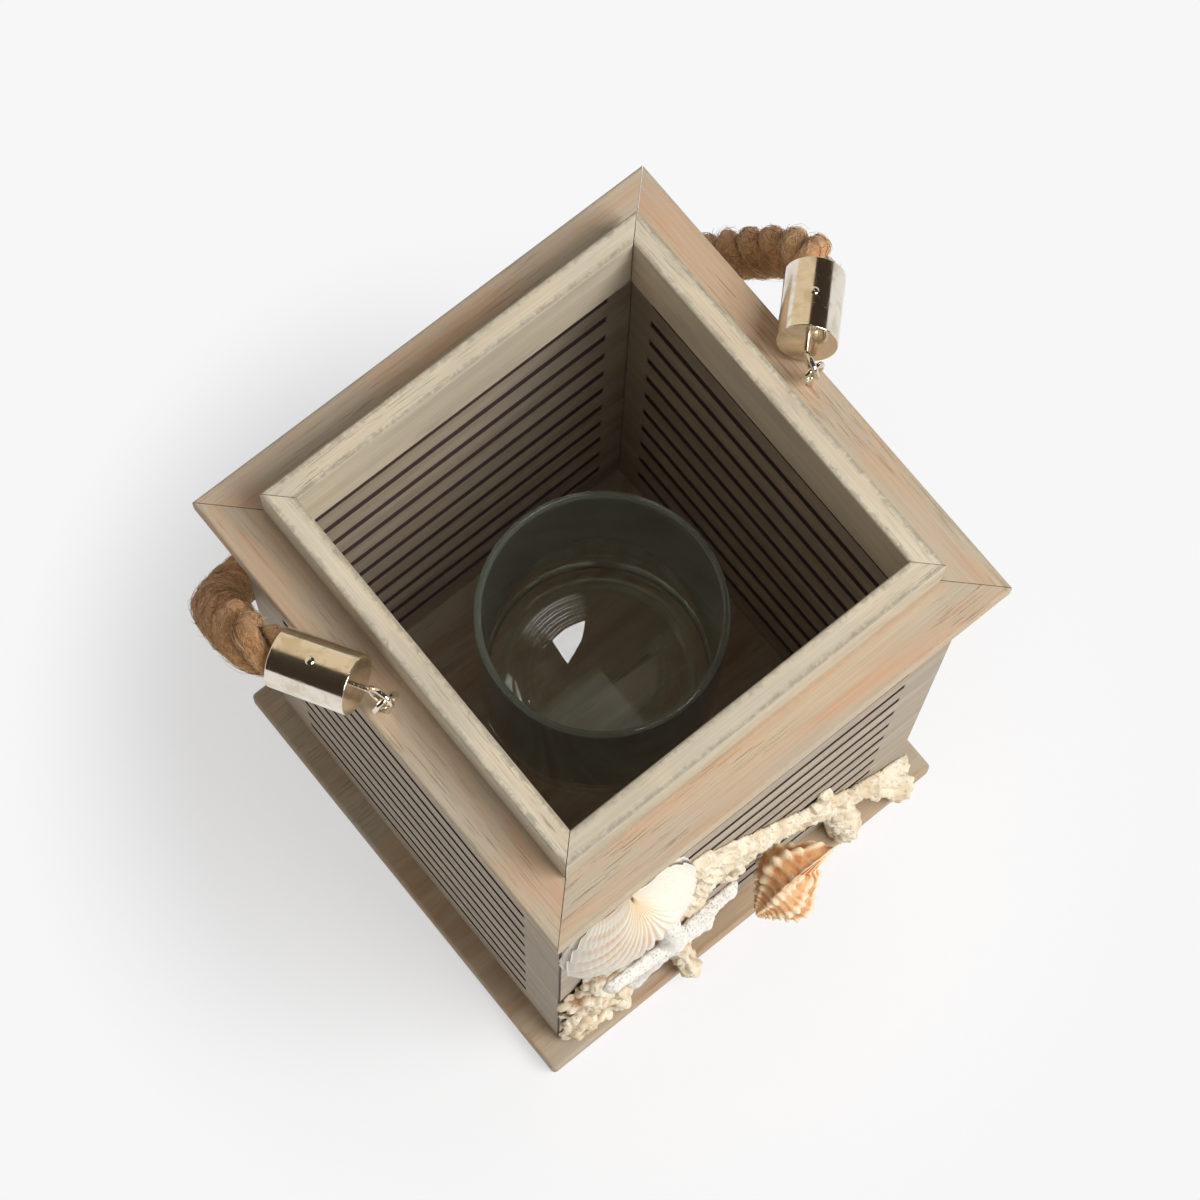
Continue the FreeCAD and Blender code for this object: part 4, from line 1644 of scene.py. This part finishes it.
@dataclass
class Reef:
    """Coral and starfish, carved from their solids."""

    voxel: float = 0.0008
    smoothing: int = 10
    bends: float = 90.0
    bend: float = 0.004
    ridge_run: tuple = (0.6, 0.8)
    ridges_along: float = 85.0
    ridges_across: float = 260.0
    ridge_rise: float = 0.0024
    coral_swell: float = 0.0006
    # Inward move at which the coral's painted hollow shade is full
    coral_shade_depth: float = 0.0024
    knobs: float = 150.0
    knob_rise: float = 0.0052
    clump_shrink: float = 0.0012
    # Inward move at which the clump's painted hollow shade is full
    clump_shade_depth: float = 0.0034
    star_pits: float = 520.0
    star_pit_rise: float = 0.0009
    star_pit_level: float = 0.45
    # Inward move at which the starfish's painted hollow shade is full
    star_shade_depth: float = 0.0006
    seed: int = 1795602851

    def carve(self, node: str, name: str, material: bpy.types.Material,
              shape: Callable[[Vector], float], deepest: float) -> None:
        """Move the skin of a solid in and out, paint shade into its hollows, and set it in place.

        Args:
            node: The solid.
            name: The new piece's name.
            material: Its finish.
            shape: Gives how far a point moves outwards.
            deepest: Inward move at which the painted shade of a hollow is full.
        """
        points, faces, normals = remeshed(node, self.voxel, self.smoothing)
        moves = np.array([shape(Vector(point)) for point in points])
        carved = points + normals * moves[:, None]
        carved[:, 1] = np.minimum(carved[:, 1], FRONT_Y - SKIN_GAP)
        carved[:, 2] = np.maximum(carved[:, 2], LEDGE_Z + SKIN_GAP)
        # Painted shade: the further a point moves in, the darker it is painted
        hollow = np.clip(-moves / deepest, 0.0, 1.0)
        piece = mesh_piece(name, carved, faces, material, {"hollow": hollow})
        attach(piece, "lantern")
        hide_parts(node)
        LOG.info("carved %s", name)

    @staticmethod
    def bumps(place: Vector, per_metre: float, rise: float) -> float:
        """Give even bumps of one size, up to a rise in metres."""
        return rise * noise.noise(place * per_metre)

    def coral_shape(self, place: Vector) -> float:
        """Give the coral's wavy ridges, lumps and pores.

        Args:
            place: A point of the skin.

        Returns:
            How far it moves outwards, in metres.
        """
        bent = place + noise.noise_vector(place * self.bends) * self.bend
        run_x, run_z = self.ridge_run
        along = run_x * bent.x - run_z * bent.z
        across = run_z * bent.x + run_x * bent.z
        out, across = bent.y * self.ridges_across, across * self.ridges_across
        crest = 0.5 - 2 * abs(noise.noise(Vector((along * self.ridges_along, out, across))))
        lump = self.bumps(place, per_metre=110.0, rise=1.6 * MM)
        pore = self.bumps(place, per_metre=480.0, rise=1.1 * MM)
        return self.ridge_rise * crest + lump + pore + self.coral_swell

    def clump_shape(self, place: Vector) -> float:
        """Give the clump's knobs and holes.

        Args:
            place: A point of the skin.

        Returns:
            How far it moves outwards, in metres.
        """
        cells = noise.voronoi(place * self.knobs)[0]
        knob = self.knob_rise * (0.5 - cells[0])
        lump = self.bumps(place, per_metre=90.0, rise=1.6 * MM)
        pore = self.bumps(place, per_metre=500.0, rise=0.7 * MM)
        return knob + lump + pore - self.clump_shrink

    def star_shape(self, place: Vector) -> float:
        """Give the starfish's small pits.

        Args:
            place: A point of the skin.

        Returns:
            How far it moves outwards, in metres.
        """
        cells = noise.voronoi(place * self.star_pits)[0]
        pit = self.star_pit_rise * (cells[0] - self.star_pit_level)
        return pit + self.bumps(place, per_metre=160.0, rise=0.4 * MM)

    def build(self, effects: Effects) -> None:
        """Carve every piece.

        Args:
            effects: The shared node groups.
        """
        # Vector noise takes its offsets from the clock unless it is seeded
        noise.seed_set(self.seed)
        coral, star = CoralSkin().make(effects), StarSkin().make(effects)
        self.carve("coral_branch", "coral_ridges", coral, self.coral_shape, self.coral_shade_depth)
        self.carve("coral_clump", "coral_knobs", coral, self.clump_shape, self.clump_shade_depth)
        self.carve("coral_twig", "coral_bit", coral, self.coral_shape, self.coral_shade_depth)
        self.carve("starfish", "starfish_pitted", star, self.star_shape, self.star_shade_depth)


def main() -> None:
    """Set the camera, then build and dress every sub-assembly."""
    logging.basicConfig(level=logging.INFO, format="%(name)s: %(message)s")
    studio = Studio()
    studio.camera()
    effects = Effects()
    RopeHandle().build(effects)
    Boards().dress(effects)
    GlassCup().build(effects)
    Scallop().build(effects)
    Murex().build(effects)
    Reef().build(effects)
    studio.light()


if __name__ == "__main__":
    main()
